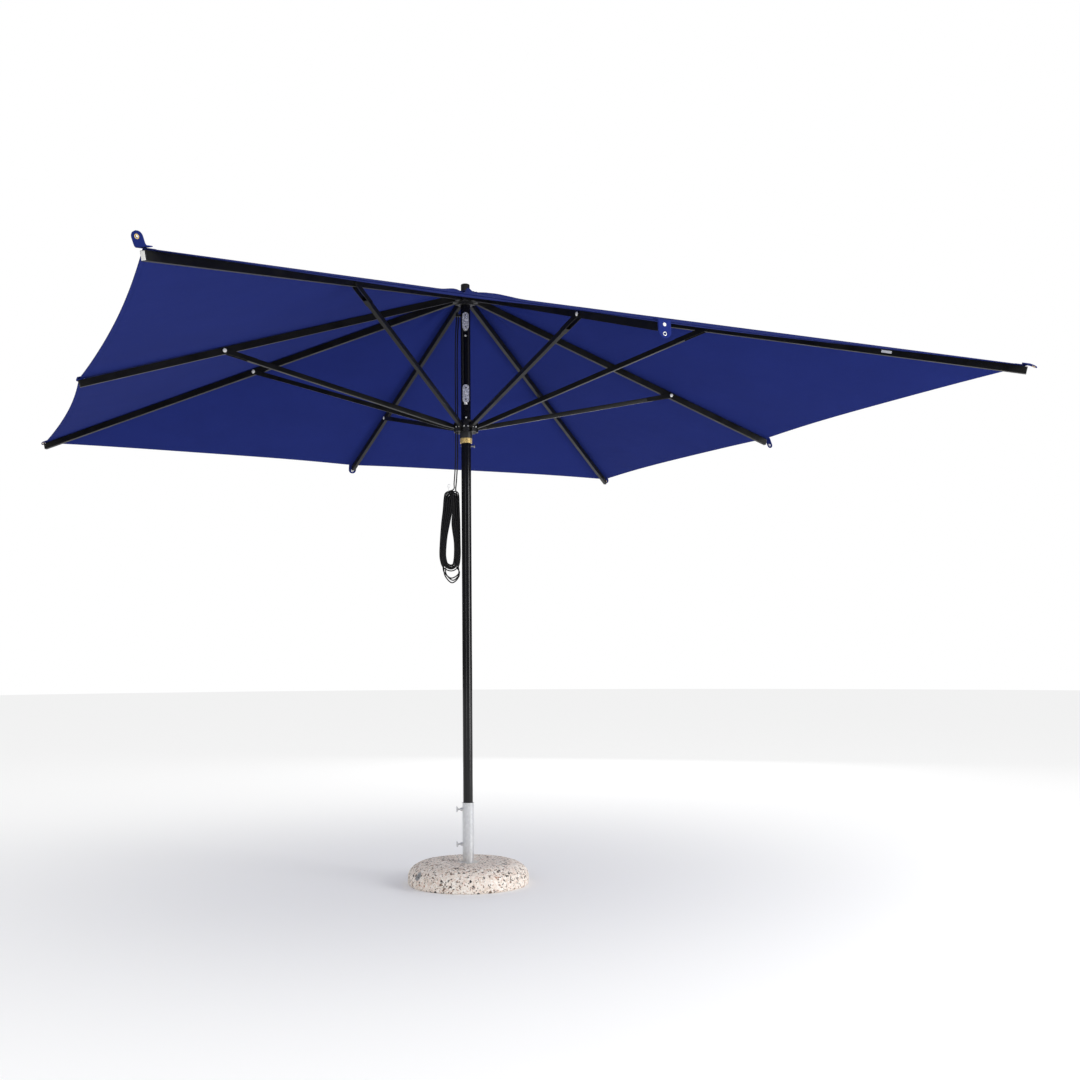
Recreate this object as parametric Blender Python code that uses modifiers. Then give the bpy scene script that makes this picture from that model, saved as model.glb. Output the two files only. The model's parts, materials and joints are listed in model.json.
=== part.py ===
"""A square market umbrella on a round stone base: a 3.0 x 3.0 m canopy raised with a rope tackle.

Metres, +Z up. The origin is the centre of the base's underside, on the pole's axis. The canopy's corner ribs
point along the diagonals and its side ribs along X and Y.
"""

import math

import bmesh
import bpy
from mathutils import Matrix, Vector

# Gap kept between pieces that touch, and the looser one between pieces that turn or slide on each other.
GAP = 0.0003
RUNNING_GAP = 0.0006

# Canopy: where the rib lines meet on the axis, and where they end.
HALF_WIDTH = 1.500
APEX_Z = 2.402
CORNER_TIP_Z = 1.923
SIDE_TIP_Z = 1.911
HEM_BOW = 0.025
PANEL_SAG = 0.012
FABRIC = 0.0015
FABRIC_START_R = 0.066
FABRIC_LIFT = 0.0174

# Ribs and struts: rectangular tube, pivots, and how far along each rib its strut is riveted.
RIB_WIDTH = 0.015
RIB_HEIGHT = 0.025
RIB_WALL = 0.0015
TONGUE_WIDTH = 0.012
HUB_PIVOT_R = 0.045
HUB_PIVOT_Z = 2.390
HUB_RING_WIRE_R = 0.0015
CORNER_RIVET_FROM_AXIS = 1.017
SIDE_RIVET_FROM_AXIS = 1.035
RIVET_R = 0.004
RUNNER_PIVOT_R = 0.047
RUNNER_PIVOT_Z = 1.866
STRUT_HEIGHT = 0.018
STRUT_NOSE_R = 0.006
STRUT_TAPER = 0.045
FORK_REACH = 0.092
FORK_LENGTH = 0.125
FORK_CHEEK = 0.002
FORK_SEAM = 0.0003
RIVET_HEAD_R = 0.0075
RIVET_HEAD = 0.0015
RIB_SHOULDER = 0.020
RIB_SOLID_END = 0.035
CAP_LENGTH = 0.004
CAP_SPIGOT = 0.018

# Pole and the pieces on it.
POLE_R = 0.020
POLE_WALL = 0.0018
POLE_FOOT_Z = 0.020
POLE_TOP_Z = 2.398
HUB_RING_R = 0.051
HUB_CORE_R = 0.031
HUB_LOW_Z = 2.366
HUB_FLANGE_Z = 2.4035
HUB_TOP_Z = 2.4085
SLOT_HALF = 0.0072
DISC_R = 0.045
DISC_THICKNESS = 0.004
FINIAL_R = 0.018
FINIAL_TOP_Z = 2.452

# Runner, collar and locking pin.
SLEEVE_R = 0.029
SLEEVE_LOWER_R = 0.0255
SLEEVE_LOW_Z = 1.8228
SLEEVE_TOP_Z = 1.896
RUNNER_RING_R = 0.050
RUNNER_RING_LOW_Z = 1.847
RUNNER_RING_TOP_Z = 1.885
COLLAR_R = 0.0245
COLLAR_LOW_Z = 1.8025
ROPE_SLOT_HALF = 0.0037
PIN_Z = 1.791
PIN_R = 0.003
PIN_REACH = 0.036
PIN_INNER_END = -0.0215
PIN_KNOB = 0.004
PIN_KNOB_R = 0.0062

# Tackle: two single blocks in front of the pole, and the rope.
BLOCK_INNER = 0.0225
BLOCK_OUTER = 0.0385
CHEEK = 0.0015
BLOCK_HALF_WIDTH = 0.013
BRIDGE_HALF = 0.007
TAB_HALF = 0.006
AXLE_HEAD = 0.002
AXLE_HEAD_R = 0.0048
UPPER_BLOCK_LOW_Z = 2.258
UPPER_BLOCK_TOP_Z = 2.328
UPPER_TAB_LOW_Z = 2.232
LOWER_BLOCK_LOW_Z = 1.963
LOWER_BLOCK_TOP_Z = 2.036
UPPER_SHEAVE_Z = 2.298
LOWER_SHEAVE_Z = 2.001
SHEAVE_R = 0.0115
SHEAVE_GROOVE_R = 0.0085
AXLE_R = 0.003
ROPE_R = 0.0025
GUIDE_Z = 2.320
GUIDE_R = 0.040
GUIDE_HALF = 0.008
GUIDE_HEIGHT = 0.008
RETURN_R = 0.0345
ROPE_SPACING = 0.0175
HANK_THICKNESS = 0.016
TAIL_ROUTE = (
    (0.0365, 2.3197),
    (0.0372, 2.300),
    (0.0405, 2.240),
    (0.0425, 2.150),
    (0.0425, 1.980),
    (0.0425, 1.800),
    (0.0455, 1.700),
    (0.0500, 1.640),
    (0.0520, 1.6155),
)
RETURN_ROUTE = (
    (0.0285, 2.3197),
    (0.0290, 2.300),
    (0.0325, 2.240),
    (RETURN_R, 2.150),
    (RETURN_R, 1.980),
    (RETURN_R, 1.800),
    (0.0370, 1.700),
    (0.0412, 1.640),
    (0.0435, 1.6155),
)
HANK_OUTLINE = (
    (0.0385, 1.6152),
    (0.0330, 1.606),
    (0.0295, 1.590),
    (0.0275, 1.560),
    (0.0262, 1.520),
    (0.0250, 1.470),
    (0.0243, 1.400),
    (0.0240, 1.345),
    (0.0290, 1.305),
    (0.0400, 1.280),
    (0.0480, 1.250),
    (0.0600, 1.232),
    (0.0730, 1.231),
    (0.0850, 1.245),
    (0.0920, 1.272),
    (0.1030, 1.298),
    (0.1110, 1.330),
    (0.1125, 1.360),
    (0.1090, 1.420),
    (0.1040, 1.480),
    (0.0980, 1.530),
    (0.0920, 1.575),
    (0.0850, 1.598),
    (0.0740, 1.611),
    (0.0640, 1.6152),
)

# Base.
BASE_R = 0.2476
BASE_RIM_Z = 0.033
BASE_TOP_Z = 0.0915
BASE_DISH_Z = 0.0875
BASE_SHOULDER_R = 0.160
SOCKET_FLOOR_Z = 0.010
TUBE_R = 0.0234
TUBE_BORE_R = 0.0206
TUBE_TOP_Z = 0.332
TUBE_LIP_R = 0.0243
SCREW_HEIGHTS = {"upper": 0.304, "lower": 0.161}
SCREW_R = 0.003
BOSS_R = 0.0065
BOSS_REACH = 0.0315
WING_REACH = 0.0495
WING_THICKNESS = 0.0028
INSET_AZIMUTH = 190.2
INSET_SEAT = (0.2380, 0.0525)
INSET_TILT = 59.0
INSET_R = 0.018
INSET_DEPTH = 0.012
INSET_FACE = 0.0006
INSET_SQUARE = 0.007

# Directions round the pole, in degrees from +X.
SIDE_RIBS = {"right": 0, "back": 90, "left": 180, "front": 270}
CORNER_RIBS = {"back_right": 45, "back_left": 135, "front_left": 225, "front_right": 315}
TACKLE_AZIMUTH = 247.5
ROPE_AZIMUTH = 157.5
PIN_AZIMUTH = 337.5

BLACK_PAINT = ((0.012, 0.012, 0.014), 0.25, 0.0)
BLACK_PLASTIC = ((0.016, 0.016, 0.018), 0.45, 0.0)
GALVANISED = ((0.62, 0.63, 0.64), 0.35, 1.0)
STAINLESS = ((0.70, 0.70, 0.70), 0.22, 1.0)
BRASS = ((0.72, 0.52, 0.22), 0.30, 1.0)
STONE = ((0.62, 0.52, 0.45), 0.75, 0.0)
BLUE_FABRIC = ((0.018, 0.028, 0.20), 0.85, 0.0)
BLACK_ROPE = ((0.015, 0.015, 0.016), 0.80, 0.0)

for old in list(bpy.data.objects):
    bpy.data.objects.remove(old)
parts = bpy.data.collections.new("patio_umbrella")
bpy.context.scene.collection.children.link(parts)


# ---------------------------------------------------------------- shapes


def add(name, mesh):
    made = bpy.data.objects.new(name, mesh)
    parts.objects.link(made)
    return made


def from_bmesh(name, bm):
    mesh = bpy.data.meshes.new(name)
    bmesh.ops.recalc_face_normals(bm, faces=bm.faces)
    bm.to_mesh(mesh)
    bm.free()
    return add(name, mesh)


def box(name, low, high):
    low, high = Vector(low), Vector(high)
    bm = bmesh.new()
    bmesh.ops.create_cube(bm, size=1, matrix=Matrix.LocRotScale((low + high) / 2, None, high - low))
    return from_bmesh(name, bm)


def rod(name, start, end, radius, segments=16):
    start, end = Vector(start), Vector(end)
    turn = (end - start).to_track_quat("Z", "Y")
    bm = bmesh.new()
    bmesh.ops.create_cone(
        bm,
        cap_ends=True,
        segments=segments,
        radius1=radius,
        radius2=radius,
        depth=(end - start).length,
        matrix=Matrix.LocRotScale((start + end) / 2, turn, None),
    )
    return from_bmesh(name, bm)


def turned(name, profile, steps, ring=False):
    """A profile of (r, z) from top to bottom, turned about Z. A ring's profile closes on itself."""
    mesh = bpy.data.meshes.new(name)
    count = len(profile)
    edges = [(i, (i + 1) % count) for i in range(count if ring else count - 1)]
    mesh.from_pydata([(r, 0, z) for r, z in profile], edges, [])
    made = add(name, mesh)
    screw = made.modifiers.new("Turn", "SCREW")
    screw.steps = screw.render_steps = steps
    screw.use_merge_vertices = True
    screw.merge_threshold = 0.00001
    return made


def ring(name, inner, outer, low, high, steps=32):
    return turned(name, [(outer, high), (outer, low), (inner, low), (inner, high)], steps, ring=True)


def outline(name, points, thickness):
    """A flat outline in its own XY plane, extruded to both sides."""
    curve = bpy.data.curves.new(name, "CURVE")
    curve.dimensions = "2D"
    curve.fill_mode = "BOTH"
    curve.extrude = thickness / 2
    spline = curve.splines.new("POLY")
    spline.points.add(len(points) - 1)
    for point, (x, y) in zip(spline.points, points):
        point.co = (x, y, 0, 1)
    spline.use_cyclic_u = True
    return add(name, curve)


def tube(name, points, radius, resolution):
    curve = bpy.data.curves.new(name, "CURVE")
    curve.dimensions = "3D"
    curve.bevel_depth = radius
    curve.bevel_resolution = resolution
    curve.use_fill_caps = True
    spline = curve.splines.new("POLY")
    spline.points.add(len(points) - 1)
    for point, co in zip(spline.points, points):
        point.co = (*co, 1)
    return add(name, curve)


def settle(made):
    """Gives an object the mesh that its modifiers make, or that its curve makes."""
    graph = bpy.context.evaluated_depsgraph_get()
    mesh = bpy.data.meshes.new_from_object(made.evaluated_get(graph))
    if made.type == "CURVE":
        name, matrix = made.name, made.matrix_world.copy()
        bm = bmesh.new()
        bm.from_mesh(mesh)
        bmesh.ops.remove_doubles(bm, verts=bm.verts, dist=0.00001)
        bm.to_mesh(mesh)
        bm.free()
        bpy.data.objects.remove(made)
        made = add(name, mesh)
        made.matrix_world = matrix
        return made
    made.modifiers.clear()
    made.data = mesh
    return made


def combine(made, other, operation):
    bpy.context.view_layer.update()
    boolean = made.modifiers.new(operation, "BOOLEAN")
    boolean.operation = operation
    boolean.solver = "EXACT"
    boolean.object = other
    made = settle(made)
    bpy.data.objects.remove(other)
    return made


def join(made, other):
    return combine(made, other, "UNION")


def cut(made, other):
    return combine(made, other, "DIFFERENCE")


def around(azimuth):
    return Matrix.Rotation(math.radians(azimuth), 4, "Z")


def outward(azimuth, r, z, sideways=0):
    """A point at radius r in a direction round the pole, moved sideways (anticlockwise) from it."""
    return around(azimuth) @ Vector((r, sideways, z))


def turn_to(made, azimuth):
    made.matrix_world = around(azimuth) @ made.matrix_world


def finish(made, name, look, smooth=True):
    colour, roughness, metallic = look
    material = bpy.data.materials.new(name)
    material.use_nodes = True
    shader = material.node_tree.nodes["Principled BSDF"]
    shader.inputs["Base Color"].default_value = (*colour, 1)
    shader.inputs["Roughness"].default_value = roughness
    shader.inputs["Metallic"].default_value = metallic
    made.name = made.data.name = name
    made.data.materials.clear()
    made.data.materials.append(material)
    if made.type == "MESH" and smooth:
        made.data.shade_smooth()
        made.data.set_sharp_from_angle(angle=math.radians(35))
    return made


def parent_to(child, parent):
    bpy.context.view_layer.update()
    child.parent = parent
    child.matrix_parent_inverse = parent.matrix_world.inverted()


def arc(centre, radius, start, end, count):
    """Points on an arc, with angles in degrees."""
    angles = [math.radians(start + (end - start) * i / (count - 1)) for i in range(count)]
    return [(centre[0] + radius * math.cos(a), centre[1] + radius * math.sin(a)) for a in angles]


# ---------------------------------------------------------------- base


def make_base():
    shoulder = [
        (
            BASE_SHOULDER_R + (BASE_R - BASE_SHOULDER_R) * math.cos(math.radians(a)),
            BASE_RIM_Z + (BASE_TOP_Z - BASE_RIM_Z) * math.sin(math.radians(a)),
        )
        for a in range(90, -1, -15)
    ]
    socket_r = TUBE_R + GAP
    dish = [(socket_r, BASE_DISH_Z), (0.060, BASE_DISH_Z + 0.0005), (0.110, BASE_TOP_Z - 0.001)]
    rim = [(BASE_R, 0.004), (BASE_R - 0.004, 0)]
    socket_floor = [(0, SOCKET_FLOOR_Z), (socket_r, SOCKET_FLOOR_Z)]
    base = turned("base_block", [*socket_floor, *dish, *shoulder, *rim, (0, 0)], 48)
    finish(settle(base), "base_block", STONE)

    lip_low = TUBE_TOP_Z - 0.004
    profile = [
        (TUBE_LIP_R, TUBE_TOP_Z),
        (TUBE_LIP_R, lip_low),
        (TUBE_R, lip_low - 0.001),
        (TUBE_R, SOCKET_FLOOR_Z + GAP),
        (TUBE_BORE_R, SOCKET_FLOOR_Z + GAP),
        (TUBE_BORE_R, TUBE_TOP_Z),
    ]
    socket = settle(turned("base_tube", profile, 32, ring=True))
    for height in SCREW_HEIGHTS.values():
        wall = outward(ROPE_AZIMUTH, (TUBE_BORE_R + TUBE_R) / 2, height)
        socket = join(socket, rod("boss", wall, outward(ROPE_AZIMUTH, BOSS_REACH, height), BOSS_R, 6))
        start, end = outward(ROPE_AZIMUTH, POLE_R / 2, height), outward(ROPE_AZIMUTH, WING_REACH, height)
        socket = cut(socket, rod("hole", start, end, SCREW_R + RUNNING_GAP, 12))
    finish(socket, "base_tube", GALVANISED)


def make_thumb_screw(which, height):
    """A wing screw whose origin is on its own axis; it lies along +X before it is turned to its side."""
    screw = rod("shank", (POLE_R + 0.0004, 0, 0), (WING_REACH - 0.004, 0, 0), SCREW_R, 12)
    wing = [(0.0, 0.004), (0.0, -0.004), *arc((0.006, -0.0085), 0.0035, -150, 30, 5)]
    wing += arc((0.006, 0.0085), 0.0035, -30, 150, 5)
    head = settle(outline("wing", wing, WING_THICKNESS))
    upright = Matrix.Rotation(math.radians(90), 4, "X")
    head.matrix_world = Matrix.Translation((WING_REACH - 0.0095, 0, 0)) @ upright
    screw = join(screw, head)
    screw.matrix_world = Matrix.Translation((0, 0, height)) @ around(ROPE_AZIMUTH)
    finish(screw, "thumb_screw_" + which, GALVANISED)


def make_inset():
    """A round metal plug with a square socket, let into the base's rounded edge."""
    seat_r, seat_z = INSET_SEAT
    tilt = Matrix.Translation((seat_r, 0, seat_z)) @ Matrix.Rotation(math.radians(INSET_TILT), 4, "Y")
    inset = rod("inset", (0, 0, -INSET_DEPTH), (0, 0, INSET_FACE), INSET_R, 24)
    half = INSET_SQUARE
    inset = cut(inset, box("square", (-half, -half, -INSET_DEPTH / 2), (half, half, INSET_DEPTH)))
    hole = rod("seat", (0, 0, -INSET_DEPTH - GAP), (0, 0, 2 * INSET_DEPTH), INSET_R + GAP, 24)
    for made in (inset, hole):
        made.matrix_world = around(INSET_AZIMUTH) @ tilt
    base = bpy.data.objects["base_block"]
    look = base.data.materials[0]
    base = cut(base, hole)
    base.data.materials.clear()
    base.data.materials.append(look)
    finish(inset, "base_inset", GALVANISED)


# ---------------------------------------------------------------- pole and head


def make_pole():
    pole = settle(ring("mast_tube", POLE_R - POLE_WALL, POLE_R, POLE_FOOT_Z, POLE_TOP_Z))
    start, end = outward(PIN_AZIMUTH, -0.03, PIN_Z), outward(PIN_AZIMUTH, 0.03, PIN_Z)
    pole = cut(pole, rod("hole", start, end, PIN_R + RUNNING_GAP, 12))
    finish(pole, "mast_tube", BLACK_PAINT)

    foot_low = SOCKET_FLOOR_Z + 2 * GAP
    plug_r = POLE_R - POLE_WALL - GAP
    plug = [(0, 0.045), (plug_r, 0.043), (plug_r, POLE_FOOT_Z - GAP), (POLE_R - GAP, POLE_FOOT_Z - GAP)]
    plug += [(POLE_R - GAP, foot_low + 0.001), (POLE_R - 0.002, foot_low), (0, foot_low)]
    finish(settle(turned("mast_foot_plug", plug, 24)), "mast_foot_plug", BLACK_PLASTIC)


def cut_slots(made, inner, low, high):
    """Eight slots that the rib or strut ends sit in, open outwards."""
    for azimuth in (*SIDE_RIBS.values(), *CORNER_RIBS.values()):
        slot = box("slot", (inner, -SLOT_HALF, low), (0.08, SLOT_HALF, high))
        turn_to(slot, azimuth)
        made = cut(made, slot)
    return made


def make_head():
    bore = POLE_R + GAP
    ceiling = POLE_TOP_Z + GAP
    profile = [
        (0, HUB_TOP_Z),
        (HUB_RING_R + 0.001, HUB_TOP_Z),
        (HUB_RING_R + 0.001, HUB_FLANGE_Z),
        (HUB_RING_R, HUB_FLANGE_Z),
        (HUB_RING_R, HUB_LOW_Z + 0.010),
        (HUB_CORE_R, HUB_LOW_Z + 0.010),
        (HUB_CORE_R, HUB_LOW_Z),
        (bore, HUB_LOW_Z),
        (bore, ceiling),
        (0, ceiling),
    ]
    hub = settle(turned("top_hub", profile, 32))
    hub = cut_slots(hub, HUB_CORE_R + RUNNING_GAP, HUB_LOW_Z - 0.01, HUB_FLANGE_Z)
    bpy.ops.mesh.primitive_torus_add(
        major_segments=40,
        minor_segments=8,
        major_radius=HUB_PIVOT_R,
        minor_radius=HUB_RING_WIRE_R + 0.0004,
        location=(0, 0, HUB_PIVOT_Z),
    )
    groove = bpy.context.object
    hub = cut(hub, groove)
    finish(hub, "top_hub", BLACK_PLASTIC)

    bpy.ops.mesh.primitive_torus_add(
        major_segments=40, minor_segments=8, major_radius=HUB_PIVOT_R, minor_radius=HUB_RING_WIRE_R
    )
    wire = bpy.context.object
    for collection in list(wire.users_collection):
        collection.objects.unlink(wire)
    parts.objects.link(wire)
    wire.location = (0, 0, HUB_PIVOT_Z)
    finish(wire, "hub_pivot_ring", STAINLESS)

    crown_low = HUB_TOP_Z + GAP
    crown = [
        (0, crown_low + FABRIC),
        (DISC_R, crown_low + FABRIC),
        (FABRIC_START_R - 0.001, crown_low - 0.0035 + FABRIC),
        (FABRIC_START_R - 0.001, crown_low - 0.0035),
        (HUB_RING_R + 0.002, crown_low),
        (0, crown_low),
    ]
    finish(settle(turned("canopy_crown", crown, 32)), "canopy_crown", BLUE_FABRIC)

    disc_low = crown_low + FABRIC + GAP
    disc_high = disc_low + DISC_THICKNESS
    disc = [(0, disc_high), (DISC_R - 0.002, disc_high), (DISC_R, disc_low + 0.002)]
    disc += [(DISC_R, disc_low), (0, disc_low)]
    finish(settle(turned("clamp_disc", disc, 32)), "clamp_disc", BLACK_PLASTIC)

    low = disc_high + GAP
    edge = FINIAL_TOP_Z - 0.004
    finial = [(0, FINIAL_TOP_Z), (FINIAL_R - 0.004, FINIAL_TOP_Z), (FINIAL_R - 0.001, edge + 0.0025)]
    finial += [(FINIAL_R, edge), (FINIAL_R, low + 0.008), (FINIAL_R + 0.004, low + 0.003)]
    finial += [(FINIAL_R + 0.004, low), (0, low)]
    finish(settle(turned("finial", finial, 32)), "finial", BLACK_PLASTIC)


# ---------------------------------------------------------------- runner and tackle


def make_runner():
    bore = POLE_R + RUNNING_GAP
    profile = [
        (SLEEVE_R, SLEEVE_TOP_Z),
        (SLEEVE_R, RUNNER_RING_TOP_Z),
        (RUNNER_RING_R, RUNNER_RING_TOP_Z),
        (RUNNER_RING_R, RUNNER_RING_LOW_Z),
        (SLEEVE_LOWER_R, RUNNER_RING_LOW_Z),
        (SLEEVE_LOWER_R, SLEEVE_LOW_Z + 0.002),
        (SLEEVE_LOWER_R - 0.001, SLEEVE_LOW_Z),
        (bore, SLEEVE_LOW_Z),
        (bore, SLEEVE_TOP_Z),
    ]
    runner = settle(turned("runner", profile, 32, ring=True))
    low, high = RUNNER_RING_LOW_Z - 0.01, RUNNER_RING_TOP_Z + 0.01
    runner = cut_slots(runner, SLEEVE_R + RUNNING_GAP, low, high)
    slot_start = RETURN_R - ROPE_R - 0.0008
    rope_slot = box("slot", (slot_start, -ROPE_SLOT_HALF, low), (0.06, ROPE_SLOT_HALF, high))
    turn_to(rope_slot, ROPE_AZIMUTH)
    finish(cut(runner, rope_slot), "runner", BLACK_PLASTIC)
    collar_top = SLEEVE_LOW_Z - GAP
    finish(settle(ring("brass_collar", bore, COLLAR_R, COLLAR_LOW_Z, collar_top)), "brass_collar", BRASS)


def make_locking_pin():
    pin = rod("pin", (PIN_INNER_END, 0, PIN_Z), (PIN_REACH - PIN_KNOB / 2, 0, PIN_Z), PIN_R, 12)
    knob = rod("knob", (PIN_REACH - PIN_KNOB, 0, PIN_Z), (PIN_REACH, 0, PIN_Z), PIN_KNOB_R, 16)
    pin = join(pin, knob)
    turn_to(pin, PIN_AZIMUTH)
    finish(pin, "locking_pin", STAINLESS)


def cheek_points(low, high):
    """A cheek plate's outline: straight sides and round ends, as (sideways, height)."""
    r = BLOCK_HALF_WIDTH
    return [*arc((0, high - r), r, 0, 180, 9), *arc((0, low + r), r, 180, 360, 9)]


def make_block(name, low, high, sheave_z, bridge, tab):
    """Two cheek plates joined by a bridge at one end. The inner plate runs on as a fixing tab or strap."""
    sides = Matrix.Rotation(math.radians(90), 4, "Y") @ Matrix.Rotation(math.radians(90), 4, "Z")
    plates = []
    for at in (BLOCK_INNER + CHEEK / 2, BLOCK_OUTER - CHEEK / 2):
        plate = settle(outline("plate", cheek_points(low, high), CHEEK))
        plate.matrix_world = Matrix.Translation((at, 0, 0)) @ sides
        plates.append(plate)
    start, end = BLOCK_INNER + CHEEK / 2, BLOCK_OUTER - CHEEK / 2
    middle = box("bridge", (start, -BRIDGE_HALF, bridge[0]), (end, BRIDGE_HALF, bridge[1]))
    block = join(join(middle, plates[0]), plates[1])
    strap = box("tab", (BLOCK_INNER, -TAB_HALF, tab[0]), (BLOCK_INNER + CHEEK, TAB_HALF, tab[1]))
    block = join(block, strap)
    hole_r = AXLE_R + RUNNING_GAP / 2
    block = cut(block, rod("hole", (0.01, 0, sheave_z), (0.05, 0, sheave_z), hole_r, 16))
    turn_to(block, TACKLE_AZIMUTH)
    finish(block, name + "_block", STAINLESS)

    end = BLOCK_OUTER + AXLE_HEAD
    axle = rod("axle", (BLOCK_INNER + GAP, 0, sheave_z), (end - GAP, 0, sheave_z), AXLE_R, 16)
    head = rod("head", (BLOCK_OUTER + GAP, 0, sheave_z), (end, 0, sheave_z), AXLE_HEAD_R, 16)
    axle = join(axle, head)
    turn_to(axle, TACKLE_AZIMUTH)
    finish(axle, name + "_sheave_axle", STAINLESS)

    half = (BLOCK_OUTER - BLOCK_INNER) / 2 - CHEEK - RUNNING_GAP
    bore = AXLE_R + RUNNING_GAP / 2
    side = [(SHEAVE_R, half), (SHEAVE_R, half * 0.75)]
    side += [(SHEAVE_GROOVE_R + 0.0006, half * 0.4), (SHEAVE_GROOVE_R, 0)]
    profile = side + [(r, -z) for r, z in reversed(side[:-1])] + [(bore, -half), (bore, half)]
    sheave = settle(turned("sheave", profile, 24, ring=True))
    centre = Vector(((BLOCK_INNER + BLOCK_OUTER) / 2, 0, sheave_z))
    on_its_side = Matrix.Rotation(math.radians(90), 4, "Y")
    sheave.matrix_world = around(TACKLE_AZIMUTH) @ Matrix.Translation(centre) @ on_its_side
    finish(sheave, name + "_sheave", BLACK_PLASTIC)


def make_tackle():
    make_block(
        "upper",
        UPPER_BLOCK_LOW_Z,
        UPPER_BLOCK_TOP_Z,
        UPPER_SHEAVE_Z,
        (UPPER_BLOCK_TOP_Z - 0.010, UPPER_BLOCK_TOP_Z - 0.002),
        (UPPER_TAB_LOW_Z, UPPER_BLOCK_LOW_Z + 0.010),
    )
    make_block(
        "lower",
        LOWER_BLOCK_LOW_Z,
        LOWER_BLOCK_TOP_Z,
        LOWER_SHEAVE_Z,
        (LOWER_BLOCK_LOW_Z + 0.002, LOWER_BLOCK_LOW_Z + 0.010),
        (SLEEVE_TOP_Z + GAP, LOWER_BLOCK_LOW_Z + 0.010),
    )
    guide = box("guide", (POLE_R + GAP, -GUIDE_HALF, GUIDE_Z), (GUIDE_R, GUIDE_HALF, GUIDE_Z + GUIDE_HEIGHT))
    turn_to(guide, ROPE_AZIMUTH)
    finish(guide, "rope_guide", BLACK_PLASTIC)


def smooth_route(route, spacing):
    """Points along a Catmull-Rom curve through a route's own points, about `spacing` apart."""
    points = [Vector(p) for p in route]
    points = [2 * points[0] - points[1], *points, 2 * points[-1] - points[-2]]
    made = []
    for a, b, c, d in zip(points, points[1:], points[2:], points[3:]):
        steps = max(1, round((c - b).length / spacing))
        for i in range(steps):
            t = i / steps
            bend = (2 * a - 5 * b + 4 * c - d) * t**2 + (3 * b - a - 3 * c + d) * t**3
            made.append(0.5 * (2 * b + (c - a) * t + bend))
    return [*made, points[-2]]


def make_rope():
    """Two falls between the blocks, and the free rope: down from the guide, a hank, and back up."""
    middle = (BLOCK_INNER + BLOCK_OUTER) / 2
    lead = SHEAVE_GROOVE_R + ROPE_R + GAP
    for which, side in (("left", -1), ("right", 1)):
        low = outward(TACKLE_AZIMUTH, middle, LOWER_SHEAVE_Z, side * lead)
        high = outward(TACKLE_AZIMUTH, middle, UPPER_SHEAVE_Z, side * lead)
        finish(rod("fall", low, high, ROPE_R, 8), "rope_fall_" + which, BLACK_ROPE)

    for name, route in (("rope_tail", TAIL_ROUTE), ("rope_return", RETURN_ROUTE)):
        points = [outward(ROPE_AZIMUTH, r, z) for r, z in route]
        finish(tube(name, smooth_route(points, ROPE_SPACING), ROPE_R, 2), name, BLACK_ROPE)

    hank = outline("rope_hank", HANK_OUTLINE, HANK_THICKNESS)
    hank.matrix_world = around(ROPE_AZIMUTH) @ Matrix.Rotation(math.radians(90), 4, "X")
    finish(hank, "rope_hank", BLACK_ROPE)


# ---------------------------------------------------------------- ribs, struts and canopy


def pivot(name, location, slope, azimuth):
    """An empty on a hinge's axis. Its X runs out along the rib or strut, and its Y is the hinge's axis."""
    empty = bpy.data.objects.new(name, None)
    parts.objects.link(empty)
    empty.matrix_world = Matrix.Translation(location) @ around(azimuth) @ Matrix.Rotation(slope, 4, "Y")
    return empty


def across(name, x, z, radius, half, segments=16):
    return rod(name, (x, -half, z), (x, half, z), radius, segments)


def rib_mesh(length, rivet_at):
    """A rectangular tube along +X from its pivot: an eye, a rivet hole and an open outer end."""
    w, h = RIB_WIDTH / 2, RIB_HEIGHT / 2
    end = length - CAP_LENGTH - GAP
    half_tongue = TONGUE_WIDTH / 2
    tongue = box("tongue", (0, -half_tongue, -h), (RIB_SHOULDER + 0.01, half_tongue, h))
    rib = join(box("rib", (RIB_SHOULDER, -w, -h), (end, w, h)), tongue)
    rib = join(rib, across("nose", 0, 0, h, half_tongue, 24))
    low, high = (RIB_SOLID_END, RIB_WALL - w, RIB_WALL - h), (length, w - RIB_WALL, h - RIB_WALL)
    rib = cut(rib, box("inside", low, high))
    rib = cut(rib, across("eye", 0, 0, HUB_RING_WIRE_R + 0.001, 0.02))
    return cut(rib, across("hole", rivet_at, 0, RIVET_R + RUNNING_GAP / 2, 0.02, 20))


def cap_mesh(length):
    w, h = RIB_WIDTH / 2, RIB_HEIGHT / 2
    inner_w, inner_h = w - RIB_WALL - GAP, h - RIB_WALL - GAP
    start = length - CAP_LENGTH
    plate = box("cap", (start, -w, -h), (length, w, h))
    spigot = box("spigot", (start - CAP_SPIGOT, -inner_w, -inner_h), (start + 0.001, inner_w, inner_h))
    return join(plate, spigot)


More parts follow.
